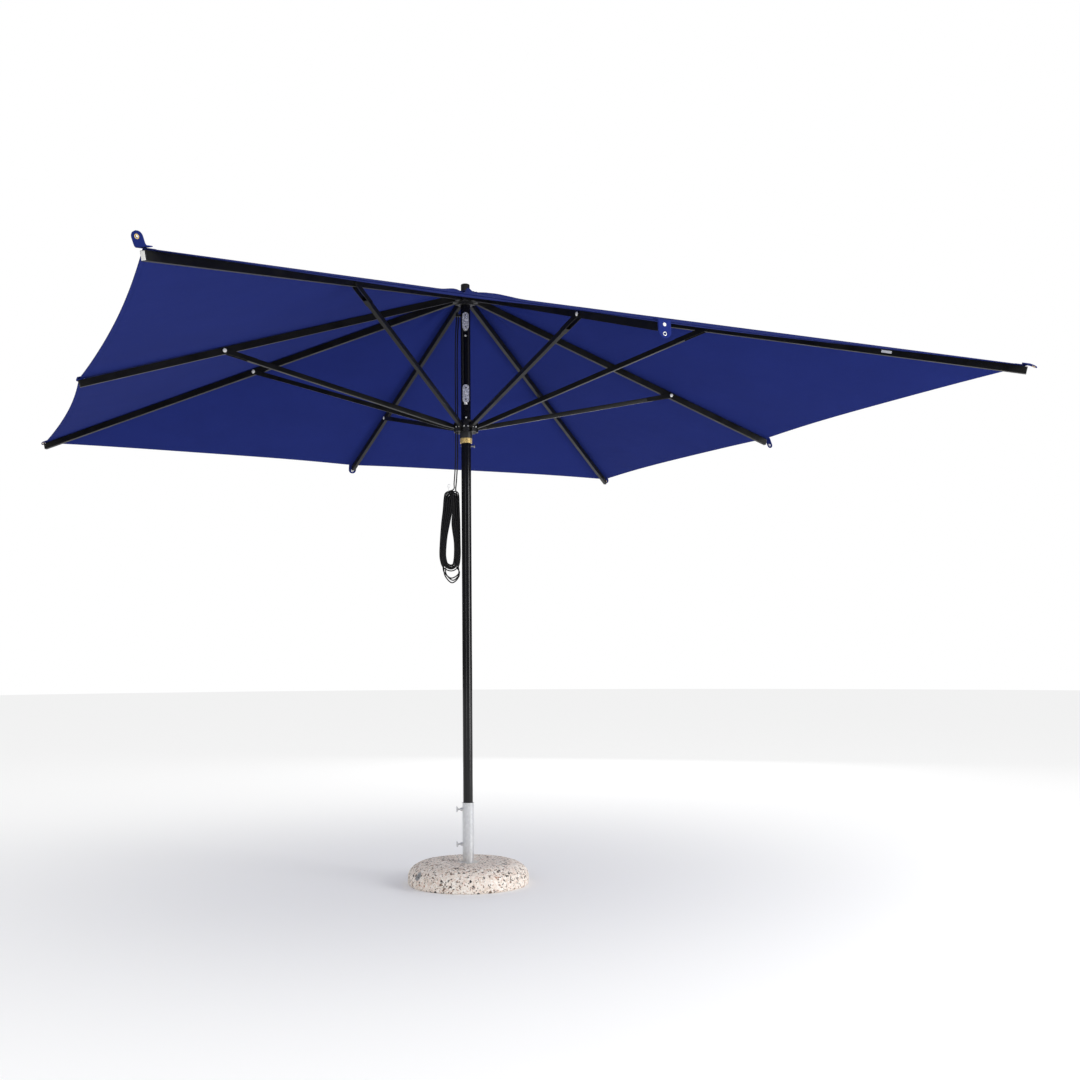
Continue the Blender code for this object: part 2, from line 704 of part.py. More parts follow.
def strut_mesh(length):
    """A strut along +X from its rivet at the origin: a fork round the rib, a tube, and a rounded nose."""
    w, h = RIB_WIDTH / 2, STRUT_HEIGHT / 2
    taper = length - STRUT_TAPER
    side = [(FORK_REACH, -h), (taper, -h), *arc((length, 0), STRUT_NOSE_R, -90, 90, 9)]
    side += [(taper, h), (FORK_REACH, h)]
    strut = settle(outline("strut", side, RIB_WIDTH))
    upright = Matrix.Rotation(math.radians(90), 4, "X")
    strut.data.transform(upright)
    inner = w + RUNNING_GAP
    outer = inner + FORK_CHEEK
    socket_h = h + FORK_SEAM
    strut = join(strut, box("socket", (FORK_REACH, -outer, -socket_h), (FORK_LENGTH, outer, socket_h)))
    cheek_end = FORK_REACH + 0.01
    cheek_side = [*arc((0, 0), h + 0.001, 90, 270, 9), (cheek_end, -h), (cheek_end, h)]
    for sign in (-1, 1):
        low, high = sorted((sign * TONGUE_WIDTH / 2, sign * 0.02))
        strut = cut(strut, box("shave", (taper, low, -0.02), (length + 0.02, high, 0.02)))
        cheek = settle(outline("cheek", cheek_side, FORK_CHEEK))
        cheek.matrix_world = Matrix.Translation((0, sign * (inner + outer) / 2, 0)) @ upright
        strut = join(strut, cheek)
    strut = join(strut, across("rivet", 0, 0, RIVET_R, outer + RIVET_HEAD / 3, 20))
    for sign in (-1, 1):
        start, end = (0, sign * (outer - RIVET_HEAD / 3), 0), (0, sign * (outer + RIVET_HEAD), 0)
        strut = join(strut, rod("head", start, end, RIVET_HEAD_R, 20))
    low, high = (FORK_REACH - 0.01, RIB_WALL - w, RIB_WALL - h), (taper - 0.005, w - RIB_WALL, h - RIB_WALL)
    return cut(strut, box("inside", low, high))


def hem_reach(across_share):
    """How far out the hem lies as a share of the half width; it bows in between two rib ends."""
    return 1 - HEM_BOW / HALF_WIDTH * 4 * across_share * (1 - across_share)


def canopy_point(direction, share):
    """A point on the fabric's underside, `share` of the way from crown to hem, in a direction in radians."""
    run, rise = abs(math.cos(direction)), abs(math.sin(direction))
    longer, across_share = max(run, rise), min(run, rise) / max(run, rise)
    hem_r = HALF_WIDTH * hem_reach(across_share) / longer
    r = FABRIC_START_R + (hem_r - FABRIC_START_R) * share
    out = r * longer / HALF_WIDTH
    drop = (APEX_Z - SIDE_TIP_Z) * (1 - across_share) + (APEX_Z - CORNER_TIP_Z) * across_share
    sag = PANEL_SAG * 4 * across_share * (1 - across_share) * math.sin(math.pi * 0.9 * out)
    return Vector((r * math.cos(direction), r * math.sin(direction), APEX_Z + FABRIC_LIFT - out * drop - sag))


def gore_mesh(middle):
    """The cloth that one rib carries, halfway out to its neighbours. `middle` is in degrees."""
    half = math.atan(0.5) if middle == 0 else math.pi / 4 - math.atan(0.5)
    middle = math.radians(middle)
    aside = Vector((-math.sin(middle), math.cos(middle), 0))
    rows, columns = 8, 8
    bm = bmesh.new()
    grid = []
    for i in range(rows + 1):
        line = []
        for j in range(columns + 1):
            v = 2 * j / columns - 1
            point = canopy_point(middle + v * half, i / rows)
            line.append(bm.verts.new(point - v * 2 * GAP * aside))
        grid.append(line)
    for i in range(rows):
        for j in range(columns):
            bm.faces.new((grid[i][j], grid[i + 1][j], grid[i + 1][j + 1], grid[i][j + 1]))
    mesh = bpy.data.meshes.new("gore")
    bm.to_mesh(mesh)
    bm.free()
    gore = add("gore", mesh)
    thickness = gore.modifiers.new("Cloth", "SOLIDIFY")
    thickness.thickness = FABRIC
    thickness.offset = 1
    return settle(gore)


def make_arms(directions, tip_r, tip_z, rivet_from_axis, kind):
    """The ribs that end at one radius and height, with their caps, struts and cloth."""
    slope = math.atan2(HUB_PIVOT_Z - tip_z, tip_r - HUB_PIVOT_R)
    length = math.hypot(HUB_PIVOT_Z - tip_z, tip_r - HUB_PIVOT_R)
    rivet_at = rivet_from_axis - HUB_PIVOT_R / math.cos(slope)
    rivet_r = HUB_PIVOT_R + rivet_at * math.cos(slope)
    rivet_z = HUB_PIVOT_Z - rivet_at * math.sin(slope)
    strut_length = math.hypot(rivet_r - RUNNER_PIVOT_R, rivet_z - RUNNER_PIVOT_Z)
    strut_slope = math.atan2(rivet_z - RUNNER_PIVOT_Z, rivet_r - RUNNER_PIVOT_R)
    middle = 0 if kind == "side" else 45
    looks = {"rib": BLACK_PAINT, "rib_cap": BLACK_PLASTIC, "strut": BLACK_PAINT, "canopy": BLUE_FABRIC}
    made = {
        "rib": rib_mesh(length, rivet_at),
        "rib_cap": cap_mesh(length),
        "strut": strut_mesh(strut_length),
        "canopy": gore_mesh(middle),
    }
    for where, azimuth in directions.items():
        hinge = pivot("rib_hinge_" + where, outward(azimuth, HUB_PIVOT_R, HUB_PIVOT_Z), slope, azimuth)
        rivet = pivot("strut_hinge_" + where, outward(azimuth, rivet_r, rivet_z), strut_slope, azimuth + 180)
        parent_to(rivet, hinge)
        for piece, shape in made.items():
            copy = add(piece + "_" + where, shape.data.copy())
            if piece == "canopy":
                copy.matrix_world = around(azimuth - middle)
                parent_to(copy, hinge)
            else:
                copy.parent = rivet if piece == "strut" else hinge
            finish(copy, piece + "_" + where, looks[piece], smooth=piece != "canopy")
    for shape in made.values():
        bpy.data.objects.remove(shape)


make_base()
make_inset()
for which, height in SCREW_HEIGHTS.items():
    make_thumb_screw(which, height)
make_pole()
make_head()
make_runner()
make_locking_pin()
make_tackle()
make_rope()
make_arms(SIDE_RIBS, HALF_WIDTH, SIDE_TIP_Z, SIDE_RIVET_FROM_AXIS, "side")
make_arms(CORNER_RIBS, HALF_WIDTH * math.sqrt(2), CORNER_TIP_Z, CORNER_RIVET_FROM_AXIS, "corner")
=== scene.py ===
"""The looks of a square patio umbrella on a stone base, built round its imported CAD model.

Metres, +Z up. Directions round the pole are in degrees from +X.
"""

import json
import math

import bmesh
import bpy
import numpy as np
from mathutils import Matrix, Vector

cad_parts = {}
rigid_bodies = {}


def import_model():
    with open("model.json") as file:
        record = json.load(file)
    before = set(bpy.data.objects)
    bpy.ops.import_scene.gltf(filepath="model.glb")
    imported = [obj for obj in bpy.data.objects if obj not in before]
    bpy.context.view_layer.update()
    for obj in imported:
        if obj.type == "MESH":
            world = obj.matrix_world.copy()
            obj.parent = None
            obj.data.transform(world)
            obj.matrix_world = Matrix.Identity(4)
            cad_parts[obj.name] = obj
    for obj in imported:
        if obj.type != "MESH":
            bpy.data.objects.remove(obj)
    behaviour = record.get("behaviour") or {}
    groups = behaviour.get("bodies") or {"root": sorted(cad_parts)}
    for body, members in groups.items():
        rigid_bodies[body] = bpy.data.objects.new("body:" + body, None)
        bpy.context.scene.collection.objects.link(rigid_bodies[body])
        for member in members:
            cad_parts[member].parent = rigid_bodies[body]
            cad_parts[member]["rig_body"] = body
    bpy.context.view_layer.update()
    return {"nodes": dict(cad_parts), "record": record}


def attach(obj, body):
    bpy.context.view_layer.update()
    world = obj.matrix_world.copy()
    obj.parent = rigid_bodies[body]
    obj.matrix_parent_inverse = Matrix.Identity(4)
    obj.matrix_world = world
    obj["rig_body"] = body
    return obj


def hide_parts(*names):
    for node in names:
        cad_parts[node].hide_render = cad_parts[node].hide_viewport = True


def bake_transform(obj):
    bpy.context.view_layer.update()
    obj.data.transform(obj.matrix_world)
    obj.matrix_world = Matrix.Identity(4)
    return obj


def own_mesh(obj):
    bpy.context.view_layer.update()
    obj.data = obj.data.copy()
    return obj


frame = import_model()

# The CAD model's own dimensions.
HALF_WIDTH = 1.500
APEX_Z = 2.402
CORNER_TIP_Z = 1.923
SIDE_TIP_Z = 1.911
HEM_BOW = 0.025
PANEL_SAG = 0.012
FABRIC_START_R = 0.066
FABRIC_LIFT = 0.0174
HUB_PIVOT_R = 0.045
HUB_PIVOT_Z = 2.390
HUB_TOP_Z = 2.4085
RIB_WIDTH = 0.015
BASE_R = 0.2476
BASE_SHOULDER_R = 0.160
BASE_RIM_Z = 0.033
SOCKET_R = 0.0237
SOCKET_FLOOR_Z = 0.010
POLE_R = 0.020
POLE_WALL = 0.0018
POLE_FOOT_Z = 0.020
POLE_TOP_Z = 2.398
COLLAR_R = 0.0245
COLLAR_BORE_R = 0.0206
COLLAR_LOW_Z = 1.8025
COLLAR_TOP_Z = 1.8225
RUNNER_RING_R = 0.050
RUNNER_RIVET_ANGLE = 12.5
RUNNER_PIVOT_Z = 1.866
BLOCK_OUTER = 0.0385
LOWER_STRAP_TOP_Z = 1.957
UPPER_STRAP_Z = 2.242
UPPER_STRAP_HALF = 0.014
BLOCK_MIDDLE_R = 0.0305
UPPER_SHEAVE_Z = 2.298
LOWER_SHEAVE_Z = 2.001
SHEAVE_GROOVE_R = 0.0085
ROPE_R = 0.0025
GUIDE_LOW_Z = 2.3197
INSET_AZIMUTH = 190.2
INSET_SEAT = (0.2380, 0.0525)
INSET_TILT = 59.0
INSET_R = 0.018
ROPE_AZIMUTH = 157.5
TACKLE_AZIMUTH = 247.5
SIDE_RIBS = {"right": 0, "back": 90, "left": 180, "front": 270}
CORNER_RIBS = {"back_right": 45, "back_left": 135, "front_left": 225, "front_right": 315}
RIBS = {**SIDE_RIBS, **CORNER_RIBS}
CORNER_RIVET = (0.99221, 2.17696)
SIDE_RIVET = (0.98310, 2.08117)

# Cloth.
CLOTH = 0.0012
HEM_WIDTH = 0.024
HEM_EXTRA = 0.0010
SEAM_HALF = 0.009
SEAM_EXTRA = 0.0008
BORDER_LAP = 0.0003
CORNER_FLAT_WIDTH = 1.07
CROWN_R = 0.070
EYELET_HOLE_R = 0.0036
EYELET_R = 0.0070

# The free rope: the two runs beside the pole, as (radius, height), and one turn of the hank.
TAIL_ROUTE = (
    (0.0365, GUIDE_LOW_Z), (0.0372, 2.300), (0.0405, 2.240), (0.0425, 2.150), (0.0425, 1.980),
    (0.0425, 1.800), (0.0455, 1.700), (0.0500, 1.640), (0.0520, 1.6155),
)
RETURN_ROUTE = (
    (0.0285, GUIDE_LOW_Z), (0.0290, 2.300), (0.0325, 2.240), (0.0345, 2.150), (0.0345, 1.980),
    (0.0345, 1.800), (0.0370, 1.700), (0.0412, 1.640), (0.0435, 1.6155),
)
TURN_OUTER_SIDE = (
    (0.0830, 1.6020), (0.0905, 1.580), (0.0950, 1.530), (0.1012, 1.480), (0.1062, 1.420),
    (0.1095, 1.360), (0.1080, 1.330), (0.1000, 1.302),
)
TURN_INNER_SIDE = (
    (0.0325, 1.305), (0.0268, 1.345), (0.0270, 1.400), (0.0277, 1.470), (0.0289, 1.520),
    (0.0302, 1.560), (0.0310, 1.586), (0.0365, 1.6040),
)
TURN_BOTTOM = ((0.0850, 1.288), (0.0660, 1.2815), (0.0470, 1.287))
LOOSE_BOTTOMS = {
    1: ((0.0890, 1.262), (0.0600, 1.2330), (0.0315, 1.262)),
    6: ((0.0850, 1.270), (0.0560, 1.2430), (0.0300, 1.273)),
    9: ((0.0930, 1.277), (0.0650, 1.2520), (0.0340, 1.270)),
}
TURN_TOP = (0.0575, 1.6125)

# The hank's turns lie in layers, two side by side. They close on each other between the neck heights.
LAYERS = 5
ROPE_PITCH = 0.0052
NECK_PITCH = 0.0085
NECK_DROP = 0.0062
NECK_HEIGHTS = (1.40, 1.53)
NECK_RADII = (0.0665, 0.0575)
NECK_BEND = 0.0014
LOWERED_FROM_Z = 1.56
HOOK_ROUTE = (
    (0.0700, 1.6220), (0.0665, 1.6250), (0.0655, 1.6300), (0.0687, 1.6345), (0.0735, 1.6335),
    (0.0755, 1.6285), (0.0745, 1.6210), (0.0725, 1.6130), (0.0720, 1.6050), (0.0755, 1.6000),
)


# ---------- materials


def new_look(name, colour, roughness, metallic=0.0, **others):
    material = bpy.data.materials.new(name)
    material.use_nodes = True
    shader = material.node_tree.nodes["Principled BSDF"]
    shader.inputs["Base Color"].default_value = (*colour, 1)
    shader.inputs["Roughness"].default_value = roughness
    shader.inputs["Metallic"].default_value = metallic
    for socket, value in others.items():
        shader.inputs[socket.replace("_", " ")].default_value = value
    return material


def node(material, kind, inputs=None, **settings):
    made = material.node_tree.nodes.new("ShaderNode" + kind)
    for name, value in settings.items():
        setattr(made, name, value)
    for name, value in (inputs or {}).items():
        if isinstance(value, bpy.types.NodeSocket):
            material.node_tree.links.new(value, made.inputs[name])
        else:
            made.inputs[name].default_value = value
    return made


def feed(material, socket, output):
    shader = material.node_tree.nodes["Principled BSDF"]
    material.node_tree.links.new(output, shader.inputs[socket])


def place(material, which="Object", scale=(1, 1, 1), rotation=(0, 0, 0)):
    """Coordinates in metres, stretched by `scale`."""
    coordinates = node(material, "TexCoord")
    settings = {"Vector": coordinates.outputs[which], "Scale": scale, "Rotation": rotation}
    return node(material, "Mapping", settings).outputs["Vector"]


def noise(material, vector, scale, detail=3.0, roughness=0.5):
    settings = {"Vector": vector, "Scale": scale, "Detail": detail, "Roughness": roughness}
    return node(material, "TexNoise", settings).outputs["Fac"]


def spread(material, value, low, high, start=0.3, end=0.7):
    """Maps `value`, from start to end, onto low to high."""
    settings = {"Value": value, "From Min": start, "From Max": end, "To Min": low, "To Max": high}
    return node(material, "MapRange", settings).outputs["Result"]


def maths(material, operation, a, b):
    return node(material, "Math", {0: a, 1: b}, operation=operation).outputs["Value"]


def times(material, a, b):
    return maths(material, "MULTIPLY", a, b)


def plus(material, a, b):
    return maths(material, "ADD", a, b)


def blend_colours(material, factor, a, b, blend_type="MIX"):
    mixed = node(material, "Mix", data_type="RGBA", blend_type=blend_type)
    links = material.node_tree.links
    for index, value in ((0, factor), (6, a), (7, b)):
        if isinstance(value, bpy.types.NodeSocket):
            links.new(value, mixed.inputs[index])
        else:
            mixed.inputs[index].default_value = value if index == 0 else (*value, 1)
    return mixed.outputs[2]


def raise_by(material, height, distance, strength=1.0, under=None):
    bump = node(material, "Bump", {"Height": height, "Distance": distance, "Strength": strength})
    if under is not None:
        material.node_tree.links.new(under, bump.inputs["Normal"])
    return bump.outputs["Normal"]


def rounded_edges(material, radius):
    return node(material, "Bevel", {"Radius": radius}, samples=4).outputs["Normal"]


def gloss_black():
    """Thick gloss paint on a round tube, with faint long patches of handling."""
    look = new_look("gloss_black_paint", (0.006, 0.006, 0.007), 0.14, Specular_IOR_Level=0.3)
    patches = noise(look, place(look, scale=(1, 1, 0.3)), 6.0, 2.0)
    feed(look, "Roughness", spread(look, patches, 0.12, 0.16))
    return look


def powder_coat():
    """Satin black powder coat with its fine texture, worn a little lighter where dust lies."""
    look = new_look("black_powder_coat", (0.012, 0.012, 0.013), 0.38, Specular_IOR_Level=0.12)
    grain = noise(look, place(look), 900.0, 2.0)
    feed(look, "Normal", raise_by(look, grain, 0.0003, 0.2, rounded_edges(look, 0.0012)))
    dust = noise(look, place(look), 14.0, 5.0)
    feed(look, "Roughness", spread(look, dust, 0.30, 0.46))
    worn = blend_colours(look, spread(look, dust, 0, 1), (0.006, 0.006, 0.006), (0.011, 0.011, 0.011))
    feed(look, "Base Color", worn)
    return look


def moulded_plastic(name="black_moulded_plastic", colour=(0.012, 0.012, 0.013), roughness=0.42):
    look = new_look(name, colour, roughness, Specular_IOR_Level=0.3)
    grain = noise(look, place(look), 1400.0, 2.0)
    feed(look, "Normal", raise_by(look, grain, 0.0002, 0.25, rounded_edges(look, 0.0008)))
    patches = noise(look, place(look), 45.0, 3.0)
    feed(look, "Roughness", spread(look, patches, roughness - 0.07, roughness + 0.08))
    return look


def galvanised():
    """Zinc on steel: soft spangle, drawn slightly along the tube, with duller patches."""
    look = new_look("galvanised_steel", (0.66, 0.67, 0.68), 0.34, 0.7)
    where = place(look, scale=(1, 1, 0.6))
    flakes = node(look, "TexVoronoi", {"Vector": where, "Scale": 150.0}, feature="F1")
    tone = node(look, "SeparateColor", {"Color": flakes.outputs["Color"]}).outputs["Red"]
    streaks = noise(look, place(look, scale=(1, 1, 0.05)), 220.0, 4.0)
    shade = plus(look, times(look, tone, 0.5), times(look, streaks, 0.6))
    bright = spread(look, shade, 0, 1, 0.2, 0.9)
    feed(look, "Base Color", blend_colours(look, bright, (0.62, 0.63, 0.64), (0.74, 0.75, 0.76)))
    feed(look, "Roughness", spread(look, shade, 0.28, 0.38, 0.2, 0.9))
    feed(look, "Normal", raise_by(look, streaks, 0.0002, 0.25, rounded_edges(look, 0.0006)))
    return look


def satin_metal(name, colour, roughness, metallic):
    """Satin metal with a few duller smears."""
    look = new_look(name, colour, roughness, metallic)
    smears = noise(look, place(look), 160.0, 4.0)
    feed(look, "Roughness", spread(look, smears, roughness - 0.06, roughness + 0.10))
    feed(look, "Normal", rounded_edges(look, 0.0005))
    return look


def terrazzo():
    """Washed aggregate in pale cement: chips of two sizes, with a smoother patch of cement at the tube."""
    look = new_look("exposed_aggregate", (0.60, 0.52, 0.45), 0.7)
    where = place(look)
    bend = noise(look, where, 90.0, 2.0)
    bent = node(look, "VectorMath", {0: where, 1: times(look, bend, 0.002)}, operation="ADD").outputs[0]
    chips = []
    for scale in (105.0, 215.0):
        settings = {"Vector": bent, "Scale": scale, "Randomness": 1.0}
        cells = node(look, "TexVoronoi", settings, feature="F1")
        edges = node(look, "TexVoronoi", settings, feature="DISTANCE_TO_EDGE")
        pick = node(look, "SeparateColor", {"Color": cells.outputs["Color"]})
        ramp = node(look, "ValToRGB", {"Fac": pick.outputs["Red"]})
        ramp.color_ramp.interpolation = "CONSTANT"
        stops = (
            (0.00, (0.82, 0.72, 0.64)),
            (0.30, (0.74, 0.60, 0.52)),
            (0.46, (0.88, 0.83, 0.77)),
            (0.66, (0.66, 0.55, 0.46)),
            (0.76, (0.20, 0.13, 0.09)),
            (0.84, (0.030, 0.028, 0.027)),
            (0.96, (0.42, 0.24, 0.16)),
        )
        elements = ramp.color_ramp.elements
        for at, colour in stops[1:-1]:
            elements.new(at)
        for element, (at, colour) in zip(elements, stops):
            element.position = at
            element.color = (*colour, 1)
        chips.append((ramp.outputs["Color"], edges.outputs["Distance"], pick.outputs["Green"]))
    (big, big_edge, big_pick), (small, small_edge, small_pick) = chips
    fines = spread(look, noise(look, where, 300.0), 0, 1)
    cement = blend_colours(look, fines, (0.72, 0.65, 0.58), (0.84, 0.78, 0.71))
    small_inside = spread(look, small_edge, 0, 1, 0.03, 0.06)
    shown_small = times(look, small_inside, maths(look, "LESS_THAN", small_pick, 0.72))
    big_inside = spread(look, big_edge, 0, 1, 0.06, 0.10)
    shown_big = times(look, big_inside, maths(look, "LESS_THAN", big_pick, 0.50))
    colour = blend_colours(look, shown_small, cement, small)
    colour = blend_colours(look, shown_big, colour, big)
    axis = node(look, "SeparateXYZ", {"Vector": where})
    squares = [maths(look, "POWER", axis.outputs[name], 2.0) for name in "XY"]
    radius = maths(look, "SQRT", plus(look, *squares), 0.0)
    patch_edge = plus(look, radius, times(look, noise(look, where, 40.0, 3.0), 0.022))
    patch = spread(look, patch_edge, 1, 0, 0.050, 0.058)
    colour = blend_colours(look, patch, colour, (0.66, 0.64, 0.60))
    feed(look, "Base Color", colour)
    big_height = times(look, shown_big, spread(look, big_edge, 0, 1, 0.0, 0.3))
    small_height = times(look, shown_small, spread(look, small_edge, 0, 0.5, 0.0, 0.3))
    pebbles = plus(look, big_height, small_height)
    smooth_patch = times(look, pebbles, maths(look, "SUBTRACT", 1.0, patch))
    feed(look, "Normal", raise_by(look, smooth_patch, 0.0012, 0.7))
    feed(look, "Roughness", spread(look, pebbles, 0.85, 0.50, 0.0, 1.0))
    return look


def near_line(material, value, at, half_width):
    """1 where `value` is within half_width of `at`, and 0 elsewhere."""
    away = maths(material, "SUBTRACT", value, at)
    away = node(material, "Math", {0: away}, operation="ABSOLUTE").outputs["Value"]
    return maths(material, "LESS_THAN", away, half_width)


def stitching(material):
    """Dashed thread beside each seam and along the hem. Its UVs are metres from the seam and the hem."""
    uv = node(material, "UVMap", uv_map="Edges").outputs["UV"]
    edges = node(material, "SeparateXYZ", {"Vector": uv})
    seam = node(material, "Math", {0: edges.outputs["X"]}, operation="ABSOLUTE").outputs["Value"]
    dashes = []
    for across, along in ((seam, edges.outputs["Y"]), (edges.outputs["Y"], edges.outputs["X"])):
        at = SEAM_HALF - 0.0025 if across is seam else HEM_WIDTH - 0.003
        step = maths(material, "FRACT", times(material, along, 250.0), 0.0)
        dash = maths(material, "LESS_THAN", step, 0.7)
        dashes.append(times(material, near_line(material, across, at, 0.0004), dash))
    return maths(material, "MAXIMUM", *dashes)


def stripes(material, vector, scale, direction):
    waves = {"Vector": vector, "Scale": scale, "Distortion": 0.0}
    return node(material, "TexWave", waves, bands_direction=direction).outputs["Fac"]


def woven(name, colour, thread):
    """Plain-weave cloth. Its UVs are metres along the two threads."""
    look = new_look(name, colour, 0.86, Sheen_Weight=0.01, Sheen_Roughness=0.5, Specular_IOR_Level=0.02)
    shader = look.node_tree.nodes["Principled BSDF"]
    shader.inputs["Sheen Tint"].default_value = (0.35, 0.42, 1.0, 1)
    thread_here = stitching(look)
    uv = place(look, "UV")
    scale = 2 * math.pi / (20 * thread)
    weave = times(look, stripes(look, uv, scale, "X"), stripes(look, uv, scale, "Y"))
    slubs = noise(look, place(look, "UV", scale=(1, 0.06, 1)), 700.0, 3.0)
    clouds = noise(look, place(look), 5.0, 4.0)
    shade = plus(look, times(look, weave, 0.25), times(look, slubs, 0.5))
    shade = plus(look, shade, times(look, clouds, 0.35))
    darker = tuple(0.84 * c for c in colour)
    lighter = tuple(1.14 * c for c in colour)
    cloth = blend_colours(look, spread(look, shade, 0, 1, 0.25, 0.80), darker, lighter)
    feed(look, "Base Color", blend_colours(look, thread_here, cloth, tuple(0.45 * c for c in colour)))
    creases = noise(look, place(look), 9.0, 3.0, 0.55)
    surface = maths(look, "SUBTRACT", weave, times(look, thread_here, 2.0))
    feed(look, "Normal", raise_by(look, surface, 0.0002, 0.35, raise_by(look, creases, 0.010, 0.25)))
    feed(look, "Roughness", spread(look, slubs, 0.80, 0.92))
    return look


def braided():
    """Black braided cord. Its UVs are diameters along the cord, and quarter turns round it."""
    black = (0.013, 0.013, 0.014)
    look = new_look("braided_black_cord", black, 0.70, Sheen_Weight=0.05, Specular_IOR_Level=0.2)
    turned = [place(look, "UV", scale=(1, 2, 1), rotation=(0, 0, math.radians(a))) for a in (52, -52)]
    braid = maths(look, "MAXIMUM", *[stripes(look, uv, 0.62, "X") for uv in turned])
    fibres = noise(look, place(look, "UV", scale=(3, 12, 1)), 6.0, 4.0)
    # The cord is darker in the grooves between its strands, where the braid pattern is low: painted shade,
    # with the fibres' own random tone mixed in.
    groove_shade_and_fibres = spread(look, times(look, braid, fibres), 0, 1, 0.1, 0.6)
    feed(look, "Base Color", blend_colours(look, groove_shade_and_fibres, (0.003, 0.003, 0.003), black))
    feed(look, "Normal", raise_by(look, braid, 0.0005, 0.8))
    feed(look, "Roughness", spread(look, fibres, 0.52, 0.75))
    return look


def block_steel():
    """Polished steel cheeks whose strap, above the runner and below the upper block, is coloured black."""
    look = satin_metal("block_steel", (0.88, 0.88, 0.87), 0.25, 0.6)
    height = node(look, "SeparateXYZ", {"Vector": place(look)}).outputs["Z"]
    upper_strap = near_line(look, height, UPPER_STRAP_Z, UPPER_STRAP_HALF)
    lower_strap = maths(look, "LESS_THAN", height, LOWER_STRAP_TOP_Z)
    black_strap_mask = maths(look, "MAXIMUM", lower_strap, upper_strap)
    feed(look, "Base Color", blend_colours(look, black_strap_mask, (0.88, 0.88, 0.87), (0.010, 0.010, 0.010)))
    return look


BLUE = (0.0140, 0.0240, 0.150)
LOOKS = {
    "stone": terrazzo(),
    "galvanised_steel": galvanised(),
    "stainless_steel": satin_metal("stainless_steel", (0.86, 0.86, 0.85), 0.32, 0.6),
    "brass": satin_metal("brass", (0.86, 0.63, 0.24), 0.28, 0.55),
    "pole_paint": gloss_black(),
    "rib_paint": powder_coat(),
    "black_plastic": moulded_plastic(),
    "canopy_fabric": woven("blue_polyester", BLUE, 0.0011),
    "rope": braided(),
}
STEEL = LOOKS["stainless_steel"]
WHITE_CAP = moulded_plastic("white_rivet_cap", (0.78, 0.78, 0.76), 0.35)
PIN_STEEL = satin_metal("pin_steel", (0.30, 0.30, 0.30), 0.4, 0.6)
BLOCK_STEEL = block_steel()
WHITE_LABEL = moulded_plastic("white_label", (0.80, 0.80, 0.79), 0.5)
for subpart in frame["record"]["subparts"]:
    for material_slot in frame["nodes"][subpart["node"]].material_slots:
        material_slot.material = LOOKS[subpart["material_slot"]]


# ---------- shapes


def around(azimuth):
    return Matrix.Rotation(math.radians(azimuth), 4, "Z")


def outward(azimuth, r, z, sideways=0.0):
    return around(azimuth) @ Vector((r, sideways, z))


def add_to_scene(name, data):
    made = bpy.data.objects.new(name, data)
    bpy.context.scene.collection.objects.link(made)
    return made


def add(name, mesh, look, body=None, smooth=True, sharp=40):
    made = add_to_scene(name, mesh)
    mesh.materials.append(look)
    if smooth:
        mesh.shade_smooth()
        if sharp:
            mesh.set_sharp_from_angle(angle=math.radians(sharp))
    if body:
        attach(made, body)
    return made


def put(made, matrix, body):
    """Sets a finished piece in its place, on a body."""
    made.matrix_world = matrix
    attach(made, body)
    return made


def mesh_from(name, bm):
    mesh = bpy.data.meshes.new(name)
    bm.to_mesh(mesh)
    bm.free()
    return mesh


def round_angles(count):
    return np.linspace(0, 2 * math.pi, count, endpoint=False)


def lathe(profile, steps, matrix=None):
    """A profile of (r, z) turned about Z, as a new bmesh. Points on the axis become one point."""
    bm = bmesh.new()
    rings = []
    for r, z in profile:
        if r < 1e-6:
            rings.append([bm.verts.new((0, 0, z))] * steps)
        else:
            rings.append([bm.verts.new((r * math.cos(a), r * math.sin(a), z)) for a in round_angles(steps)])
    for low, high in zip(rings, rings[1:]):
        for i in range(steps):
            j = (i + 1) % steps
            corners = []
            for v in (low[i], low[j], high[j], high[i]):
                if v not in corners:
                    corners.append(v)
            if len(corners) > 2:
                bm.faces.new(corners)
    bmesh.ops.recalc_face_normals(bm, faces=bm.faces)
    if matrix is not None:
        bmesh.ops.transform(bm, matrix=matrix, verts=bm.verts)
    return bm


def dome(radius, height, steps=24, rings=5):
    """A low domed head whose flat side is at z 0."""
    angles = [math.radians(90 * i / rings) for i in range(rings + 1)]
    arc = [(radius * math.cos(a), height * math.sin(a)) for a in angles]
    return lathe([(0, -0.0006), (radius, -0.0006), *arc], steps)


def frame_of(origin, z_axis, x_hint=(0, 0, 1)):
    z = Vector(z_axis).normalized()
    y = z.cross(Vector(x_hint)).normalized()
    x = y.cross(z)
    return Matrix.Translation(origin) @ Matrix((x, y, z)).transposed().to_4x4()


def through(points, spacing):
    """Points along a Catmull-Rom curve through the given ones, about `spacing` apart."""
    points = [Vector(p) for p in points]
    points = [2 * points[0] - points[1], *points, 2 * points[-1] - points[-2]]
    made = []
    for a, b, c, d in zip(points, points[1:], points[2:], points[3:]):
        steps = max(1, round((c - b).length / spacing))
        for i in range(steps):
            t = i / steps
            bend = (2 * a - 5 * b + 4 * c - d) * t**2 + (3 * b - a - 3 * c + d) * t**3
            made.append(0.5 * (2 * b + (c - a) * t + bend))
    return [*made, points[-2]]


